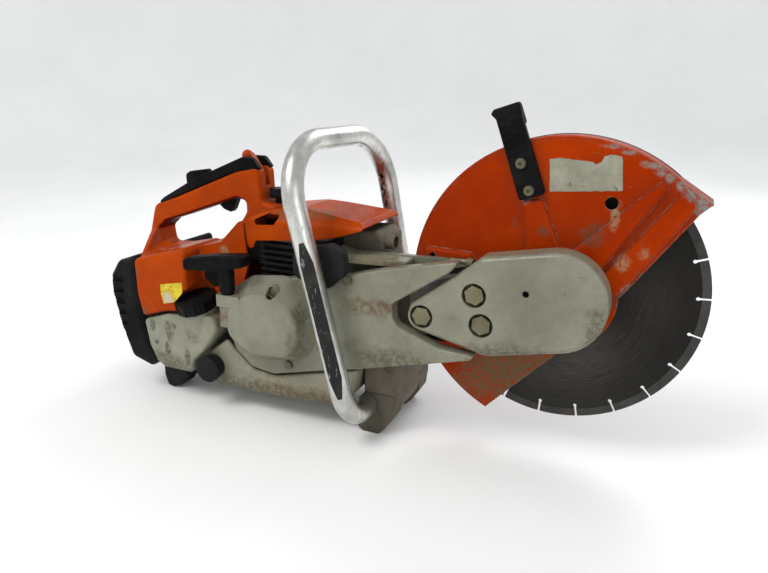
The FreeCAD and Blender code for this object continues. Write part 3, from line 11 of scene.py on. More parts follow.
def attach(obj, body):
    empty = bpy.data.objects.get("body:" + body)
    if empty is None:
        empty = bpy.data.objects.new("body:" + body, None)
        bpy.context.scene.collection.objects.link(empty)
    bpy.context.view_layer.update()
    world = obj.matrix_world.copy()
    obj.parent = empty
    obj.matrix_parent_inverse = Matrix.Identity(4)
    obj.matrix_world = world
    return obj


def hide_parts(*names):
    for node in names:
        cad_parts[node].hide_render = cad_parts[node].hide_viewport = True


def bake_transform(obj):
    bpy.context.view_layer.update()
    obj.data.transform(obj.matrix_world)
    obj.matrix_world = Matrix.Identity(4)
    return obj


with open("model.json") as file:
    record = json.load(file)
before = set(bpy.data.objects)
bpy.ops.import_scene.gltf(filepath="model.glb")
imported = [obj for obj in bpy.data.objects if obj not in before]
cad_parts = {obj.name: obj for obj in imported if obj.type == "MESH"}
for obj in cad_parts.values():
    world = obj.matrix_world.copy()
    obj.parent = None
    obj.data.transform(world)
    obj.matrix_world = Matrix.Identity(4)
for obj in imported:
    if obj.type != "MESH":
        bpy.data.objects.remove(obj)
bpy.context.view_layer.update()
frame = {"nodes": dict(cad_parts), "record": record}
NODES = frame["nodes"]
scene = bpy.context.scene

# The spindle is at X = 0, Y = 0 of the machine frame, in millimetres; the row frame is shifted.
SHIFT = Vector((0.2126, 0.003, 0.0))
SPINDLE_Z = 194.4


def at(x, y, z):
    """A point of the machine frame in millimetres, as a point of the row frame in metres."""
    return Vector((x, y, z)) / 1000 + SHIFT


# ---------------------------------------------------------------- camera
CAMERA_PLACE = (108.4, -733.0, 412.5)
CAMERA_AZIMUTH, CAMERA_ELEVATION, CAMERA_ROLL = 23.62, 16.95, 0.745
LENS_MM, SENSOR_MM = 31.875, 36


def make_camera():
    """Camera in front of the right side, looking a little back and down; angles are in degrees."""
    azimuth, elevation, roll = map(math.radians, (CAMERA_AZIMUTH, CAMERA_ELEVATION, CAMERA_ROLL))
    back = Vector((math.sin(azimuth) * math.cos(elevation), -math.cos(azimuth) * math.cos(elevation),
                   math.sin(elevation)))
    right = Vector((math.cos(azimuth), math.sin(azimuth), 0))
    up = back.cross(right)
    right_rolled = right * math.cos(roll) + up * math.sin(roll)
    up_rolled = up * math.cos(roll) - right * math.sin(roll)
    data = bpy.data.cameras.new("camera")
    data.sensor_width = SENSOR_MM
    data.lens = LENS_MM
    data.clip_start = 0.01
    camera = bpy.data.objects.new("camera", data)
    turn = Matrix((right_rolled, up_rolled, back)).transposed().to_4x4()
    camera.matrix_world = Matrix.Translation(at(*CAMERA_PLACE)) @ turn
    scene.collection.objects.link(camera)
    scene.camera = camera


make_camera()


# ---------------------------------------------------------------- node helpers
class Mat:
    """A material under construction: short calls that add and join nodes."""

    def __init__(self, name):
        self.material = bpy.data.materials.new(name)
        self.material.use_nodes = True
        self.tree = self.material.node_tree
        self.tree.nodes.clear()
        self.output = self.add("ShaderNodeOutputMaterial")
        self.shader = self.add("ShaderNodeBsdfPrincipled")
        self.join(self.shader.outputs[0], self.output.inputs["Surface"])
        coords = self.add("ShaderNodeTexCoord")
        self.place = coords.outputs["Object"]

    def add(self, kind, **settings):
        node = self.tree.nodes.new(kind)
        for key, value in settings.items():
            setattr(node, key, value)
        return node

    def join(self, source, target):
        if hasattr(source, "is_output"):
            self.tree.links.new(source, target)
        else:
            target.default_value = source

    def noise(self, scale, detail=4.0, rough=0.55, distortion=0.0, place=None):
        node = self.add("ShaderNodeTexNoise")
        self.join(place or self.place, node.inputs["Vector"])
        node.inputs["Scale"].default_value = scale
        node.inputs["Detail"].default_value = detail
        node.inputs["Roughness"].default_value = rough
        node.inputs["Distortion"].default_value = distortion
        return node.outputs["Fac"]

    def voronoi(self, scale, feature="F1", place=None, randomness=1.0):
        node = self.add("ShaderNodeTexVoronoi", feature=feature)
        self.join(place or self.place, node.inputs["Vector"])
        node.inputs["Scale"].default_value = scale
        node.inputs["Randomness"].default_value = randomness
        return node.outputs["Distance"]

    def stretch(self, scale, turn=(0, 0, 0), shift=(0, 0, 0)):
        """Coordinates scaled per axis, for streaks and scratches."""
        node = self.add("ShaderNodeMapping")
        self.join(self.place, node.inputs["Vector"])
        node.inputs["Scale"].default_value = scale
        node.inputs["Rotation"].default_value = turn
        node.inputs["Location"].default_value = shift
        return node.outputs["Vector"]

    def step(self, value, low, high, out_low=0.0, out_high=1.0):
        """Map value from low..high to out_low..out_high, clamped and smooth."""
        node = self.add("ShaderNodeMapRange", interpolation_type="SMOOTHSTEP")
        self.join(value, node.inputs["Value"])
        node.inputs["From Min"].default_value = low
        node.inputs["From Max"].default_value = high
        node.inputs["To Min"].default_value = out_low
        node.inputs["To Max"].default_value = out_high
        return node.outputs["Result"]

    def calc(self, operation, a, b=0.0, clamp=False):
        node = self.add("ShaderNodeMath", operation=operation, use_clamp=clamp)
        self.join(a, node.inputs[0])
        self.join(b, node.inputs[1])
        return node.outputs[0]

    def mix(self, factor, a, b, blend="MIX"):
        node = self.add("ShaderNodeMix", data_type="RGBA", blend_type=blend)
        self.join(factor, node.inputs["Factor"])
        for value, key in ((a, "A"), (b, "B")):
            socket = [s for s in node.inputs if s.name == key and s.type == "RGBA"][0]
            self.join(value if hasattr(value, "is_output") else tuple(value) + (1.0,), socket)
        return [s for s in node.outputs if s.type == "RGBA"][0]

    def blend(self, factor, a, b):
        """Mix of two numbers."""
        node = self.add("ShaderNodeMix", data_type="FLOAT")
        self.join(factor, node.inputs["Factor"])
        self.join(a, node.inputs["A"])
        self.join(b, node.inputs["B"])
        return node.outputs["Result"]

    def near(self, spot, radius, ragged=0.35, squeeze=(1, 1, 1)):
        """1 at a spot of the machine frame, 0 beyond the radius in millimetres, with a ragged border."""
        centre = at(*spot)
        shift = self.add("ShaderNodeVectorMath", operation="SUBTRACT")
        self.join(self.place, shift.inputs[0])
        shift.inputs[1].default_value = centre
        scaled = self.add("ShaderNodeVectorMath", operation="MULTIPLY")
        self.join(shift.outputs[0], scaled.inputs[0])
        scaled.inputs[1].default_value = squeeze
        length = self.add("ShaderNodeVectorMath", operation="LENGTH")
        self.join(scaled.outputs[0], length.inputs[0])
        wobble = self.step(self.noise(70, 6, 0.7), 0.25, 0.75, 1 - ragged, 1 + ragged)
        distance = self.calc("MULTIPLY", length.outputs["Value"], wobble)
        return self.step(distance, radius / 2500, radius / 1000, 1.0, 0.0)

    def patches(self, tone, marks):
        """Lay local marks over a tone: each is (colour, strength, spots), a spot (point, radius, squeeze)."""
        for colour, strength, spots in marks:
            for spot, radius, squeeze in spots:
                grain = self.step(self.noise(190, 5, 0.75), 0.34, 0.60)
                mask = self.calc("MULTIPLY", self.near(spot, radius, squeeze=squeeze), grain)
                tone = self.mix(self.calc("MULTIPLY", mask, strength), tone, colour)
        return tone

    def about_spindle(self):
        """Offsets along X and Z from the spindle's axis, and the radius, in metres."""
        x, _, z = self.split()
        centre = at(0, 0, SPINDLE_Z)
        dx, dz = self.calc("SUBTRACT", x, centre.x), self.calc("SUBTRACT", z, centre.z)
        squares = self.calc("ADD", self.calc("MULTIPLY", dx, dx), self.calc("MULTIPLY", dz, dz))
        return dx, dz, self.calc("SQRT", squares)

    def rim_mask(self, rim):
        """1 beyond a radius about the spindle and a distance to the left; rim holds both in millimetres."""
        radius, left = self.about_spindle()[2], at(0, rim[1], 0).y
        outer = self.step(radius, rim[0] / 1000 - 0.001, rim[0] / 1000)
        return self.calc("MULTIPLY", outer, self.step(self.split()[1], left - 0.001, left + 0.001))

    def split(self, place=None):
        node = self.add("ShaderNodeSeparateXYZ")
        self.join(place or self.place, node.inputs[0])
        return node.outputs

    def edge(self, radius):
        """1 near sharp edges, 0 on flat surface; also the rounded normal."""
        bevel = self.add("ShaderNodeBevel", samples=6)
        bevel.inputs["Radius"].default_value = radius
        flat = self.add("ShaderNodeNewGeometry")
        dot = self.add("ShaderNodeVectorMath", operation="DOT_PRODUCT")
        self.join(bevel.outputs[0], dot.inputs[0])
        self.join(flat.outputs["Normal"], dot.inputs[1])
        return self.step(dot.outputs["Value"], 0.995, 0.8), bevel.outputs[0]

    def crevice(self, distance):
        """1 deep in corners, 0 in the open."""
        node = self.add("ShaderNodeAmbientOcclusion", samples=8)
        node.inputs["Distance"].default_value = distance
        return self.calc("SUBTRACT", 1.0, node.outputs["AO"], clamp=True)

    def bump(self, height, strength, distance=0.001, normal=None):
        node = self.add("ShaderNodeBump")
        node.inputs["Strength"].default_value = strength
        node.inputs["Distance"].default_value = distance
        self.join(height, node.inputs["Height"])
        if normal:
            self.join(normal, node.inputs["Normal"])
        return node.outputs["Normal"]

    def finish(self, colour, roughness, normal, metallic=0.0, **plain):
        self.join(colour if hasattr(colour, "is_output") else tuple(colour) + (1.0,),
                  self.shader.inputs["Base Color"])
        self.join(roughness, self.shader.inputs["Roughness"])
        self.join(metallic, self.shader.inputs["Metallic"])
        self.join(normal, self.shader.inputs["Normal"])
        for key, value in plain.items():
            self.shader.inputs[key].default_value = value
        return self.material


# ---------------------------------------------------------------- finishes
def painted(name, paint, deep, under, grime_and_shade_colour, gloss=0.38, edge_radius=0.0012, wear=0.5, dirt_and_shade_amount=0.5, specks=0.5,
            grain=0.15, low_dirt=None, marks=(), specular=0.3, underside_shade=None, rim_line=None):
    """Paint over metal or coloured plastic: uneven tone, grime and painted shade in corners, painted shade on
    downward faces where asked, chips at edges, scratches.
    """
    m = Mat(name)
    tone = m.mix(m.step(m.noise(9, 5, 0.6), 0.35, 0.68), paint, deep)
    tone = m.mix(m.step(m.noise(55, 3, 0.5), 0.42, 0.75, 0, 0.35), tone, deep)
    edge, rounded = m.edge(edge_radius)
    patches = m.noise(34, 8, 0.72)
    # Ambient occlusion draws corners towards the grime colour: painted shade in corners, added to the grime
    # patches.
    corner = m.crevice(0.016)
    dirt_and_shade = m.calc("ADD", m.calc("MULTIPLY", corner, 1.4), m.step(patches, 0.5, 0.78, 0, 0.75))
    if low_dirt:
        height = m.split()[2]
        dirt_and_shade = m.calc("ADD", dirt_and_shade, m.step(height, low_dirt[0], low_dirt[1], 0.75, 0.0))
    dirt_and_shade = m.calc("MULTIPLY", dirt_and_shade, m.step(m.noise(120, 6, 0.7), 0.3, 0.62, 0.35, 1.15), clamp=True)
    dirt_and_shade = m.calc("MULTIPLY", dirt_and_shade, dirt_and_shade_amount, clamp=True)
    # Faces turned downwards take a darker tone: painted shade.
    if underside_shade:
        facing = m.split(m.add("ShaderNodeNewGeometry").outputs["Normal"])[2]
        tone = m.mix(m.step(facing, -0.25, -0.6), tone, underside_shade)
    tone = m.mix(dirt_and_shade, tone, grime_and_shade_colour)
    tone = m.patches(tone, marks)
    if rim_line:
        tone = m.mix(m.rim_mask(rim_line), tone, SOOT)
    dark = m.calc("MULTIPLY", m.step(m.noise(210, 5, 0.75, 0.8), 0.66 - 0.05 * specks, 0.7), specks)
    tone = m.mix(dark, tone, tuple(c * 0.22 for c in grime_and_shade_colour))
    streak = m.noise(1.0, 3, 0.6, 0.4, m.stretch((420, 30, 90), (0.3, 0.5, 0.9)))
    cross = m.noise(1.0, 3, 0.6, 0.4, m.stretch((50, 30, 620), (0.1, -0.35, 0.2)))
    scratch = m.calc("MAXIMUM", m.step(streak, 0.70, 0.74), m.step(cross, 0.71, 0.75))
    chips = m.calc("MULTIPLY", edge, m.step(m.noise(160, 6, 0.7), 0.66 - 0.28 * wear, 0.72 - 0.28 * wear))
    bare = m.calc("MAXIMUM", m.calc("MULTIPLY", chips, min(1.0, wear * 1.6)),
                  m.calc("MULTIPLY", scratch, 0.55 * wear), clamp=True)
    colour = m.mix(bare, tone, under)
    rough = m.blend(dirt_and_shade, gloss, 0.82)
    rough = m.calc("ADD", rough, m.step(m.noise(80, 4, 0.6), 0.3, 0.8, -0.06, 0.14), clamp=True)
    grain_height = m.calc("ADD", m.calc("MULTIPLY", m.noise(900, 3, 0.6), grain),
                          m.calc("MULTIPLY", bare, -0.5))
    return m.finish(colour, rough, m.bump(grain_height, 0.35, 0.0006, rounded),
                    **{"Specular IOR Level": specular})


def moulded(name, colour, dust_and_shade_colour, rough=0.55, grain=0.5, grain_scale=1500, dirt_and_shade_amount=0.4, edge_radius=0.001,
            shine=0.35, specular=0.3):
    """Moulded black plastic or rubber: fine spark grain, dust and painted shade in corners, painted
    highlights along the edges.
    """
    m = Mat(name)
    pale = tuple(min(1, c * 1.9 + 0.006) for c in colour)
    tone = m.mix(m.step(m.noise(14, 5, 0.6), 0.35, 0.7), colour, pale)
    edge, rounded = m.edge(edge_radius)
    # Ambient occlusion draws corners towards the dust colour: dust on black mouldings, painted shade on the
    # paler ones.
    corner = m.crevice(0.010)
    dirt_and_shade = m.calc("ADD", corner, m.step(m.noise(48, 8, 0.7), 0.5, 0.8, 0, 0.8))
    dirt_and_shade = m.calc("MULTIPLY", dirt_and_shade, m.step(m.noise(260, 5, 0.7), 0.3, 0.65, 0.2, 1.0), clamp=True)
    dirt_and_shade = m.calc("MULTIPLY", dirt_and_shade, dirt_and_shade_amount, clamp=True)
    tone = m.mix(dirt_and_shade, tone, dust_and_shade_colour)
    # Every edge is lightened evenly: painted highlights.
    tone = m.mix(m.calc("MULTIPLY", edge, shine), tone, tuple(min(1, c * 3 + 0.05) for c in colour))
    roughness = m.calc("ADD", m.blend(dirt_and_shade, rough, 0.9),
                       m.step(m.noise(90, 4, 0.6), 0.3, 0.8, -0.1, 0.1), clamp=True)
    height = m.calc("ADD", m.calc("MULTIPLY", m.noise(grain_scale, 2, 0.6), grain), m.noise(160, 3, 0.6))
    return m.finish(tone, roughness, m.bump(height, 0.3, 0.0005, rounded),
                    **{"Specular IOR Level": specular})


def bare_metal(name, colour, deep, dirt_and_shade_colour, rough=0.35, dirt_and_shade_amount=0.4, stretch=(60, 60, 900), scuffs=0.6,
               edge_radius=0.0008, metallic=1.0, turn=(0, 0, 0), marks=()):
    """Bare metal: drawn grain, cloudy tone, dull grime and painted shade in corners."""
    m = Mat(name)
    tone = m.mix(m.step(m.noise(22, 6, 0.65), 0.35, 0.68), colour, deep)
    lines = m.noise(1.0, 4, 0.6, 0.2, m.stretch(stretch, turn))
    tone = m.mix(m.step(lines, 0.35, 0.75, 0, 0.5), tone, deep)
    edge, rounded = m.edge(edge_radius)
    # Ambient occlusion draws corners towards the dirt colour: painted shade in corners, added to the grime
    # patches.
    corner = m.crevice(0.012)
    dirt_and_shade = m.calc("ADD", m.calc("MULTIPLY", corner, 1.2), m.step(m.noise(42, 8, 0.72), 0.52, 0.75, 0, 0.9))
    dirt_and_shade = m.calc("MULTIPLY", dirt_and_shade, dirt_and_shade_amount, clamp=True)
    nick = m.step(m.noise(1.0, 4, 0.7, 0.6, m.stretch((260, 90, 60), (0.4, 0.8, 0.1))), 0.66, 0.72)
    dirt_and_shade = m.calc("MAXIMUM", dirt_and_shade, m.calc("MULTIPLY", nick, scuffs), clamp=True)
    tone = m.patches(m.mix(dirt_and_shade, tone, dirt_and_shade_colour), marks)
    shine = m.blend(dirt_and_shade, metallic, metallic * 0.25)
    roughness = m.calc("ADD", m.blend(dirt_and_shade, rough, 0.8), m.step(lines, 0.3, 0.8, -0.08, 0.12), clamp=True)
    height = m.calc("ADD", m.calc("MULTIPLY", lines, 0.6), m.calc("MULTIPLY", nick, -0.8))
    return m.finish(tone, roughness, m.bump(height, 0.25, 0.0004, rounded), shine)


def wheel_steel(name):
    """Steel core of the wheel: fine rings about the spindle, dusty and dark, with painted shade towards the
    rim and over the upper sector.
    """
    m = Mat(name)
    dx, dz, radius = m.about_spindle()
    wobble = m.calc("ADD", radius, m.calc("MULTIPLY", m.noise(24, 4, 0.6), 0.006))
    ring = m.add("ShaderNodeCombineXYZ")
    m.join(m.calc("MULTIPLY", wobble, 900), ring.inputs[0])
    m.join(m.calc("MULTIPLY", m.calc("ARCTAN2", dz, dx), 2.5), ring.inputs[1])
    lines = m.noise(1.0, 6, 0.75, 0.3, ring.outputs[0])
    tone = m.mix(m.step(lines, 0.3, 0.72), (0.018, 0.0165, 0.0145), (0.085, 0.080, 0.070))
    dusty = m.step(m.noise(18, 7, 0.7), 0.4, 0.72, 0.0, 0.55)
    tone = m.mix(dusty, tone, (0.085, 0.076, 0.060))
    # Darker towards the rim: painted shade.
    outer = m.step(radius, 0.085, 0.135)
    tone = m.mix(m.calc("MULTIPLY", outer, 0.72), tone, (0.018, 0.017, 0.016))
    # The upper sector is darkened and the lower part left lighter: painted shade and a painted reflection.
    upper_sector_shade = m.step(m.calc("ARCTAN2", dz, dx), -1.3, -0.35)
    tone = m.mix(m.calc("MULTIPLY", upper_sector_shade, 0.62), tone, (0.006, 0.0052, 0.0045))
    edge, rounded = m.edge(0.0005)
    roughness = m.calc("ADD", m.calc("MULTIPLY", lines, 0.25), 0.38)
    return m.finish(tone, roughness, m.bump(lines, 0.22, 0.0004, rounded), 0.35,
                    **{"Specular IOR Level": 0.15})


# Colours are linear red, green and blue.
ORANGE, ORANGE_DEEP = (0.44, 0.056, 0.0005), (0.31, 0.033, 0.0004)
GUARD_RED, GUARD_DEEP = (0.385, 0.034, 0.0003), (0.28, 0.021, 0.0003)
WHITE, WHITE_DEEP = (0.285, 0.285, 0.215), (0.20, 0.20, 0.145)
# The white paint once more, darker, for the white castings other than the base frame: painted shade.
WHITE_SHADED, WHITE_SHADED_DEEP = (0.225, 0.225, 0.165), (0.155, 0.152, 0.108)
# Grime colour, also used for the painted shade in corners.
GRIME_AND_SHADE = (0.085, 0.073, 0.042)
RUST = (0.11, 0.052, 0.018)
SOOT = (0.012, 0.012, 0.011)
CREAM = (0.30, 0.26, 0.155)
SAND = (0.13, 0.095, 0.050)
RIM_STEEL = (0.21, 0.215, 0.19)
BLACK = (0.004, 0.004, 0.0045)
DUST = (0.060, 0.056, 0.047)

# A mark is a colour, a strength and its spots: place and radius in machine millimetres, and a shape.
ROUND = (1, 1, 1)
FLAT = (0.45, 1, 1.6)
TALL = (1.6, 1, 0.6)

CASTING_MARKS = [
    (RUST, 0.8, [((-192, -78, 168), 22, FLAT), ((-176, -78, 172), 12, FLAT), ((-247, -78, 112), 12, ROUND),
                 ((-378, -104, 140), 12, ROUND), ((-262, -60, 226), 16, ROUND),
                 ((-190, -60, 218), 16, FLAT)]),
    (CREAM, 0.55, [((-300, -76, 44), 34, FLAT), ((-240, -76, 60), 30, ROUND), ((-255, -80, 120), 22, ROUND),
                   ((-230, -60, 224), 30, FLAT), ((-352, -100, 96), 24, ROUND)]),
    (RUST, 0.6, [((-330, -76, 36), 26, FLAT), ((-285, -76, 32), 30, FLAT), ((-232, -76, 40), 24, FLAT)]),
    (GRIME_AND_SHADE, 0.9, [((-262, -76, 30), 40, FLAT), ((-372, -76, 33), 30, FLAT), ((-160, -78, 108), 30, FLAT),
                  ((-280, -96, 118), 22, TALL), ((-276, -96, 150), 16, TALL), ((-30, -75, 134), 34, FLAT),
                  ((50, -70, 175), 24, TALL)]),
]
TANK_MARKS = [
    (SOOT, 0.75, [((-504, -88, 102), 9, TALL), ((-478, -88, 97), 13, TALL), ((-470, -88, 104), 6, ROUND),
                  ((-482, -88, 72), 10, TALL), ((-500, -88, 78), 6, ROUND), ((-450, -88, 66), 10, TALL)]),
    (GRIME_AND_SHADE, 0.8, [((-495, -88, 52), 30, FLAT), ((-440, -80, 96), 16, ROUND)]),
]
GUARD_MARKS = [
    (SAND, 0.95, [((-40, -20, 92), 52, ROUND), ((-86, -20, 78), 34, ROUND), ((-20, -20, 66), 48, ROUND),
                  ((-60, -20, 112), 40, ROUND), ((-10, -20, 104), 40, ROUND)]),
    (CREAM, 0.75, [((62, -20, 236), 12, ROUND), ((82, -20, 248), 9, ROUND), ((50, -20, 284), 11, TALL)]),
    (RIM_STEEL, 0.95, [((80, -20, 336), 7, FLAT), ((88, -20, 331), 8, ROUND), ((96, -20, 325), 7, ROUND),
                       ((107, -20, 318), 6, ROUND), ((118, -20, 310), 10, ROUND), ((128, -20, 303), 13, TALL),
                       ((138, -20, 300), 18, ROUND), ((-42, -20, 292), 7, ROUND), ((68, -20, 208), 9, ROUND),
                       ((40, -20, 352), 6, FLAT), ((58, -20, 347), 5, FLAT)]),
    (GRIME_AND_SHADE, 0.7, [((-52, -20, 268), 5, TALL), ((30, -20, 262), 16, ROUND), ((-20, -20, 262), 12, ROUND),
                  ((66, -20, 196), 16, ROUND), ((78, -20, 226), 5, ROUND)]),
]
BAR_MARKS = [
    (SOOT, 1.0, [((-268, 94, 326), 13, TALL), ((-264, 94, 308), 14, TALL), ((-260, 94, 290), 14, TALL),
                 ((-256, 94, 272), 14, TALL), ((-253, 94, 254), 12, TALL), ((-271, 80, 336), 9, ROUND),
                 ((-272, 52, 334), 7, ROUND), ((-276, 20, 335), 5, ROUND)]),
]
HOUSING_MARKS = [
    (CREAM, 0.9, [((-405, -58, 206), 7, ROUND), ((-398, -58, 200), 4, ROUND)]),
    ((0.52, 0.42, 0.34), 0.7, [((-500, -40, 196), 14, FLAT), ((-470, -30, 200), 14, FLAT),
                               ((-550, -18, 200), 4, FLAT), ((-552, -18, 205), 4, FLAT)]),
    (GRIME_AND_SHADE, 0.8, [((-470, -20, 194), 22, FLAT), ((-520, -88, 170), 6, ROUND), ((-444, -88, 150), 8, TALL),
                  ((-515, -88, 118), 8, TALL), ((-300, -50, 262), 26, FLAT)]),
]
# The far edge of the guard's rim is drawn black: its radius, and its distance left of the middle.
RIM_LINE = (165, 14)

MATERIALS = {
    "guard_paint": painted(
        "guard_paint", GUARD_RED, GUARD_DEEP, (0.24, 0.22, 0.19), GRIME_AND_SHADE, gloss=0.30, wear=0.7,
        dirt_and_shade_amount=0.28, edge_radius=0.002, marks=GUARD_MARKS, specular=0.03, rim_line=RIM_LINE),
    # The dark tone given for downward faces is painted shade.
    "orange_plastic": painted(
        "orange_plastic", ORANGE, ORANGE_DEEP, (0.62, 0.26, 0.10), GRIME_AND_SHADE, gloss=0.30, wear=0.3,
        dirt_and_shade_amount=0.22, marks=HOUSING_MARKS, specular=0.05, underside_shade=(0.10, 0.008, 0.004)),
    "lever_orange": painted(
        "lever_orange", ORANGE, ORANGE_DEEP, (0.62, 0.26, 0.10), GRIME_AND_SHADE, gloss=0.35, wear=0.2, dirt_and_shade_amount=0.3,
        specular=0.10),
    # The white castings use the darker white: painted shade.
    "white_casting": painted(
        "white_casting", WHITE_SHADED, WHITE_SHADED_DEEP, (0.10, 0.095, 0.08), GRIME_AND_SHADE, gloss=0.27, wear=0.6,
        dirt_and_shade_amount=0.6, specks=0.9, low_dirt=(0.02, 0.10), marks=CASTING_MARKS, specular=0.4),
    "white_plastic": painted(
        "white_plastic", WHITE, WHITE_DEEP, (0.13, 0.125, 0.11), GRIME_AND_SHADE, gloss=0.45, wear=0.3, dirt_and_shade_amount=0.5,
        specks=0.9, low_dirt=(0.02, 0.08), marks=TANK_MARKS),
    "black_plastic": moulded(
        "black_plastic", BLACK, DUST, rough=0.42, dirt_and_shade_amount=0.07, specular=0.04, shine=0.12),
    "lever_black": moulded(
        "lever_black", BLACK, DUST, rough=0.45, dirt_and_shade_amount=0.07, specular=0.04, shine=0.15),
    "black_rubber": moulded(
        "black_rubber", (0.007, 0.007, 0.007), DUST, rough=0.7, dirt_and_shade_amount=0.3, shine=0.15, specular=0.15),
    "bar_aluminium": bare_metal(
        "bar_aluminium", (0.74, 0.74, 0.71), (0.44, 0.44, 0.41), (0.13, 0.125, 0.105), rough=0.34,
        dirt_and_shade_amount=0.4, stretch=(300, 300, 30), scuffs=0.8, marks=BAR_MARKS),
    "blade_steel": wheel_steel("blade_steel"),
    "segment_metal": bare_metal(
        "segment_metal", (0.06, 0.056, 0.05), (0.03, 0.028, 0.025), (0.09, 0.08, 0.068), rough=0.6,
        dirt_and_shade_amount=0.6, stretch=(700, 700, 700), metallic=0.5),
    "bright_steel": bare_metal(
        "bright_steel", (0.40, 0.39, 0.37), (0.22, 0.215, 0.20), (0.09, 0.075, 0.05), rough=0.35),
    "bolt_steel": bare_metal(
        "bolt_steel", (0.22, 0.20, 0.12), (0.13, 0.12, 0.075), (0.07, 0.06, 0.038), rough=0.42,
        dirt_and_shade_amount=0.6, metallic=0.8),
    "raw_casting": bare_metal(
        "raw_casting", (0.26, 0.245, 0.215), (0.16, 0.15, 0.13), (0.08, 0.065, 0.045), rough=0.6,
        dirt_and_shade_amount=0.7, stretch=(400, 400, 400), metallic=0.6),
    "grimy_casting": painted(
        "grimy_casting", (0.145, 0.125, 0.092), (0.085, 0.072, 0.05), (0.05, 0.042, 0.03),
        (0.045, 0.036, 0.023), gloss=0.7, wear=0.6, dirt_and_shade_amount=0.9, specks=1.0, grain=1.0),
    "filter_paper": moulded(
        "filter_paper", (0.40, 0.34, 0.24), (0.22, 0.18, 0.12), rough=0.9, dirt_and_shade_amount=0.5, shine=0.0),
    "rope": moulded("rope", (0.40, 0.38, 0.33), (0.17, 0.145, 0.10), rough=0.85, dirt_and_shade_amount=0.5, shine=0.0),
    "ceramic": moulded(
        "ceramic", (0.72, 0.71, 0.67), (0.22, 0.18, 0.13), rough=0.25, dirt_and_shade_amount=0.3, shine=0.0),
}


def worn_insert(name):
    """Black filling of the handlebar, rubbed through to the tube along its borders."""
    m = Mat(name)
    rub = m.noise(1.0, 6, 0.75, 0.5, m.stretch((240, 240, 60)))
    worn = m.step(rub, 0.60, 0.66)
    dusty = m.step(m.noise(46, 7, 0.7), 0.48, 0.72, 0.0, 0.6)
    tone = m.mix(dusty, (0.006, 0.006, 0.0055), (0.05, 0.045, 0.032))
    tone = m.mix(worn, tone, (0.34, 0.335, 0.31))
    edge, rounded = m.edge(0.0012)
    tone = m.mix(m.calc("MULTIPLY", edge, m.step(m.noise(150, 5, 0.7), 0.4, 0.6)), tone, (0.4, 0.395, 0.37))
    roughness = m.blend(worn, 0.55, 0.38)
    height = m.calc("SUBTRACT", m.noise(900, 3, 0.6), worn)
    return m.finish(tone, roughness, m.bump(height, 0.4, 0.0005, rounded), m.calc("MULTIPLY", worn, 0.8),
                    **{"Specular IOR Level": 0.3})


def old_paper(name):
    """Torn off-white label: wrinkles, stains and grey rub marks, nothing printed."""
    m = Mat(name)
    tone = m.mix(m.step(m.noise(26, 6, 0.65), 0.32, 0.7), (0.36, 0.35, 0.27), (0.235, 0.225, 0.165))
    wrinkles = m.noise(1.0, 7, 0.75, 1.4, m.stretch((60, 60, 240), (0, 0.35, 0)))
    tone = m.mix(m.step(wrinkles, 0.56, 0.68, 0, 0.6), tone, (0.115, 0.105, 0.075))
    stain = m.step(m.noise(150, 6, 0.7), 0.62, 0.70, 0, 0.8)
    tone = m.mix(stain, tone, (0.07, 0.06, 0.045))
    return m.finish(tone, m.step(wrinkles, 0.3, 0.7, 0.55, 0.8), m.bump(wrinkles, 0.6, 0.0006),
                    **{"Specular IOR Level": 0.3})


def old_sticker(name):
    """Yellow sticker, scratched and mottled, with no picture or lettering."""
    m = Mat(name)
    tone = m.mix(m.step(m.noise(70, 4, 0.6), 0.35, 0.7), (0.70, 0.56, 0.015), (0.52, 0.36, 0.02))
    cells = m.voronoi(330, place=m.stretch((1, 1, 0.7)))
    tone = m.mix(m.step(cells, 0.30, 0.18, 0, 0.85), tone, (0.06, 0.045, 0.012))
    pale = m.near((-474, -88, 142), 11)
    tone = m.mix(pale, tone, (0.50, 0.42, 0.33))
    worn = m.step(m.noise(210, 6, 0.75), 0.60, 0.66)
    tone = m.mix(worn, tone, (0.42, 0.10, 0.01))
    return m.finish(tone, 0.45, m.bump(worn, -0.3, 0.0003), **{"Specular IOR Level": 0.3})


slot_of = {entry["node"]: entry["material_slot"] for entry in frame["record"]["subparts"]}
SPECIAL = {
    "handlebar_insert": worn_insert("worn_insert"),
    "base_frame": painted(
        "base_paint", WHITE, WHITE_DEEP, (0.10, 0.095, 0.08), GRIME_AND_SHADE, gloss=0.36, wear=0.55,
        dirt_and_shade_amount=0.6, specks=0.9, low_dirt=(0.02, 0.10), marks=CASTING_MARKS, specular=0.4),
}
for name, node in NODES.items():
    material = SPECIAL.get(name) or MATERIALS[slot_of[name]]
    if not node.data.materials:
        node.data.materials.append(material)
    for slot in node.material_slots:
        slot.link = "OBJECT"
        slot.material = material


# ---------------------------------------------------------------- labels and rope
LABEL_CLEARANCE, LABEL_LIFT, LABEL_SHEET = 0.3, 0.6, 0.00045


def new_piece(name, shape, material, body):
    """Put a finished bmesh in the scene as a piece that moves with a body."""
    mesh = bpy.data.meshes.new(name)
    shape.to_mesh(mesh)
    shape.free()
    mesh.materials.append(material)
    piece = bpy.data.objects.new(name, mesh)
    scene.collection.objects.link(piece)
    if body:
        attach(piece, body)
    return piece


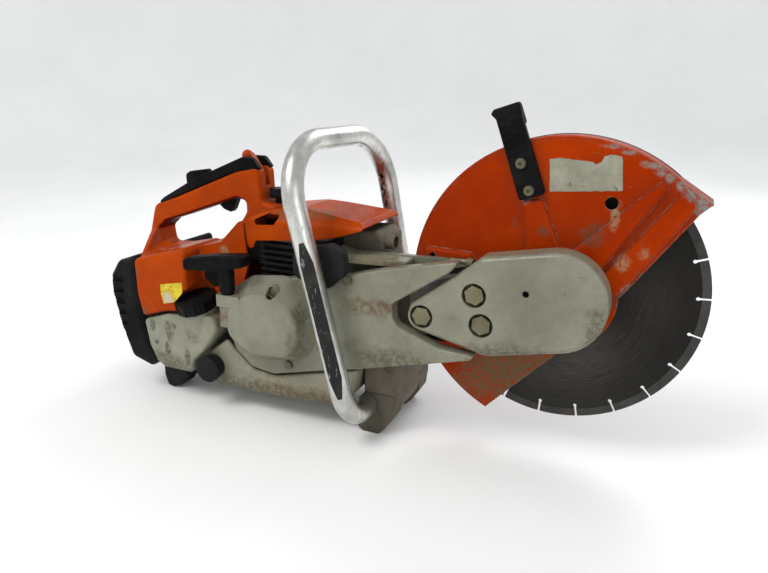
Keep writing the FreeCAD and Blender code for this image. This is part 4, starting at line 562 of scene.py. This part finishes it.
def torn_outline(corners, step, ragged, seed):
    """Points along an outline, each pushed a little to one side and given a little lift."""
    dice = random.Random(seed)
    points = []
    for (x0, z0), (x1, z1) in zip(corners, corners[1:] + corners[:1]):
        length = math.hypot(x1 - x0, z1 - z0)
        count = max(1, round(length / step))
        for number in range(count):
            share = number / count
            push = dice.uniform(-ragged, ragged) if number else 0
            points.append((x0 + (x1 - x0) * share + (z1 - z0) / length * push,
                           z0 + (z1 - z0) * share - (x1 - x0) / length * push,
                           dice.uniform(0, ragged)))
    return points


def thin_label(name, corners, level, step, ragged, seed, material, body):
    """Sheet on a flat wall facing the right side; its border lifts here and there."""
    shape = bmesh.new()
    outer = [shape.verts.new(at(x, level - LABEL_CLEARANCE - lift * LABEL_LIFT, z)) for x, z, lift
             in torn_outline(corners, step, ragged, seed)]
    back = [shape.verts.new(vert.co + Vector((0, LABEL_SHEET, 0))) for vert in outer]
    shape.faces.new(outer)
    shape.faces.new(list(reversed(back)))
    for index in range(len(outer)):
        after = (index + 1) % len(outer)
        shape.faces.new((outer[index], back[index], back[after], outer[after]))
    bmesh.ops.triangulate(shape, faces=[face for face in shape.faces if len(face.verts) > 4])
    bmesh.ops.recalc_face_normals(shape, faces=shape.faces)
    return new_piece(name, shape, material, body)


GUARD_WALL, HOUSING_WALL = -18.5, -88
LABEL = [(-20.2, 336.7), (-9.4, 338.2), (2.9, 336.7), (12.4, 336.4), (23, 335.7), (29.7, 331.8),
         (32.3, 338.8), (33.6, 342.3), (40.9, 344), (50.1, 342.3), (52.1, 327.2), (54.1, 309.3),
         (19.5, 306.2), (-17.4, 303)]
thin_label("guard_label", LABEL, GUARD_WALL, 2.2, 0.5, 5, old_paper("old_paper"), "guard")
STICKER = [(-484.6, 158.9), (-461.5, 163.5), (-450, 165.5), (-450, 153), (-455, 147), (-464, 138.5),
           (-481.6, 133.4), (-484.8, 147.3)]
thin_label("side_sticker", STICKER, HOUSING_WALL, 2.5, 0.3, 9, old_sticker("old_sticker"), "root")

ROPE_X, ROPE_Y, ROPE_RADIUS = -373, -98, 1.75
ROPE_LOW, ROPE_HIGH, ROPE_RINGS, ROPE_SIDES = 146, 196, 50, 18
STRANDS, TWIST = 3, 1.1


def make_rope():
    """Twisted starter rope from the rotor to the grip."""
    shape = bmesh.new()
    rings = []
    for level in range(ROPE_RINGS + 1):
        z = ROPE_LOW + (ROPE_HIGH - ROPE_LOW) * level / ROPE_RINGS
        ring = []
        for side in range(ROPE_SIDES):
            angle = 2 * math.pi * side / ROPE_SIDES
            radius = ROPE_RADIUS * (0.9 + 0.1 * math.cos(STRANDS * angle - z * TWIST))
            across, along = radius * math.cos(angle), radius * math.sin(angle)
            ring.append(shape.verts.new(at(ROPE_X + across, ROPE_Y + along, z)))
        rings.append(ring)
    for low, high in zip(rings, rings[1:]):
        for side in range(ROPE_SIDES):
            after = (side + 1) % ROPE_SIDES
            shape.faces.new((low[side], low[after], high[after], high[side]))
    shape.faces.new(list(reversed(rings[0])))
    shape.faces.new(rings[-1])
    rope = new_piece("pull_rope", shape, MATERIALS["rope"], None)
    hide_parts("starter_rope")
    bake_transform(rope)


make_rope()


# ---------------------------------------------------------------- studio
FLOOR_RINGS = (0.6, 1.4, 2.6)
BOWL_CURVE, BOWL_STEPS, BOWL_SIDES, WALL_HEIGHT = 1.6, 10, 96, 3.0
SKY_COLOUR, SKY_STRENGTH = (0.95, 0.97, 1.0, 1), 0.7
LAMP_TARGET = Vector((0, 0, 0.15))
LAMPS = (
    ("key", (-0.9, -1.5, 2.3), 1.1, 36, (1.0, 0.98, 0.95)),
    ("fill", (1.9, -1.3, 1.0), 1.3, 8, (0.93, 0.96, 1.0)),
    ("rim", (0.4, 1.8, 1.8), 1.2, 18, (1.0, 1.0, 1.0)),
)


def make_floor():
    """Round pale bowl: a flat floor that curves up into a wall, open to a soft sky."""
    shape = bmesh.new()
    profile = [(radius, 0) for radius in FLOOR_RINGS]
    for number in range(1, BOWL_STEPS + 1):
        angle = math.radians(90 / BOWL_STEPS * number)
        profile.append((FLOOR_RINGS[-1] + BOWL_CURVE * math.sin(angle), BOWL_CURVE * (1 - math.cos(angle))))
    profile.append((FLOOR_RINGS[-1] + BOWL_CURVE, WALL_HEIGHT))
    turns = [2 * math.pi * side / BOWL_SIDES for side in range(BOWL_SIDES)]
    rings = [[shape.verts.new((radius * math.cos(turn), radius * math.sin(turn), z)) for turn in turns]
             for radius, z in profile]
    middle = shape.verts.new((0, 0, 0))
    for side in range(BOWL_SIDES):
        after = (side + 1) % BOWL_SIDES
        shape.faces.new((middle, rings[0][side], rings[0][after]))
        for low, high in zip(rings, rings[1:]):
            shape.faces.new((low[side], high[side], high[after], low[after]))
    for face in shape.faces:
        face.smooth = True
    mesh = bpy.data.meshes.new("floor")
    shape.to_mesh(mesh)
    shape.free()
    floor = bpy.data.objects.new("floor", mesh)
    scene.collection.objects.link(floor)
    m = Mat("floor_card")
    tone = m.mix(m.step(m.noise(3, 3), 0.3, 0.7), (0.91, 0.91, 0.905), (0.94, 0.94, 0.935))
    floor.data.materials.append(m.finish(tone, 0.9, m.bump(m.noise(400), 0.05),
                                         **{"Specular IOR Level": 0.1}))


def make_light():
    """Soft pale sky and three large lamps."""
    world = bpy.data.worlds.new("studio")
    scene.world = world
    world.use_nodes = True
    sky = world.node_tree.nodes["Background"]
    sky.inputs["Color"].default_value = SKY_COLOUR
    sky.inputs["Strength"].default_value = SKY_STRENGTH
    for name, place, size, power, colour in LAMPS:
        data = bpy.data.lights.new(name, "AREA")
        data.size, data.energy, data.color = size, power, colour
        lamp = bpy.data.objects.new(name, data)
        lamp.location = place
        lamp.rotation_euler = (LAMP_TARGET - Vector(place)).to_track_quat("-Z", "Y").to_euler()
        scene.collection.objects.link(lamp)
    scene.view_settings.view_transform = "Standard"


make_floor()
make_light()
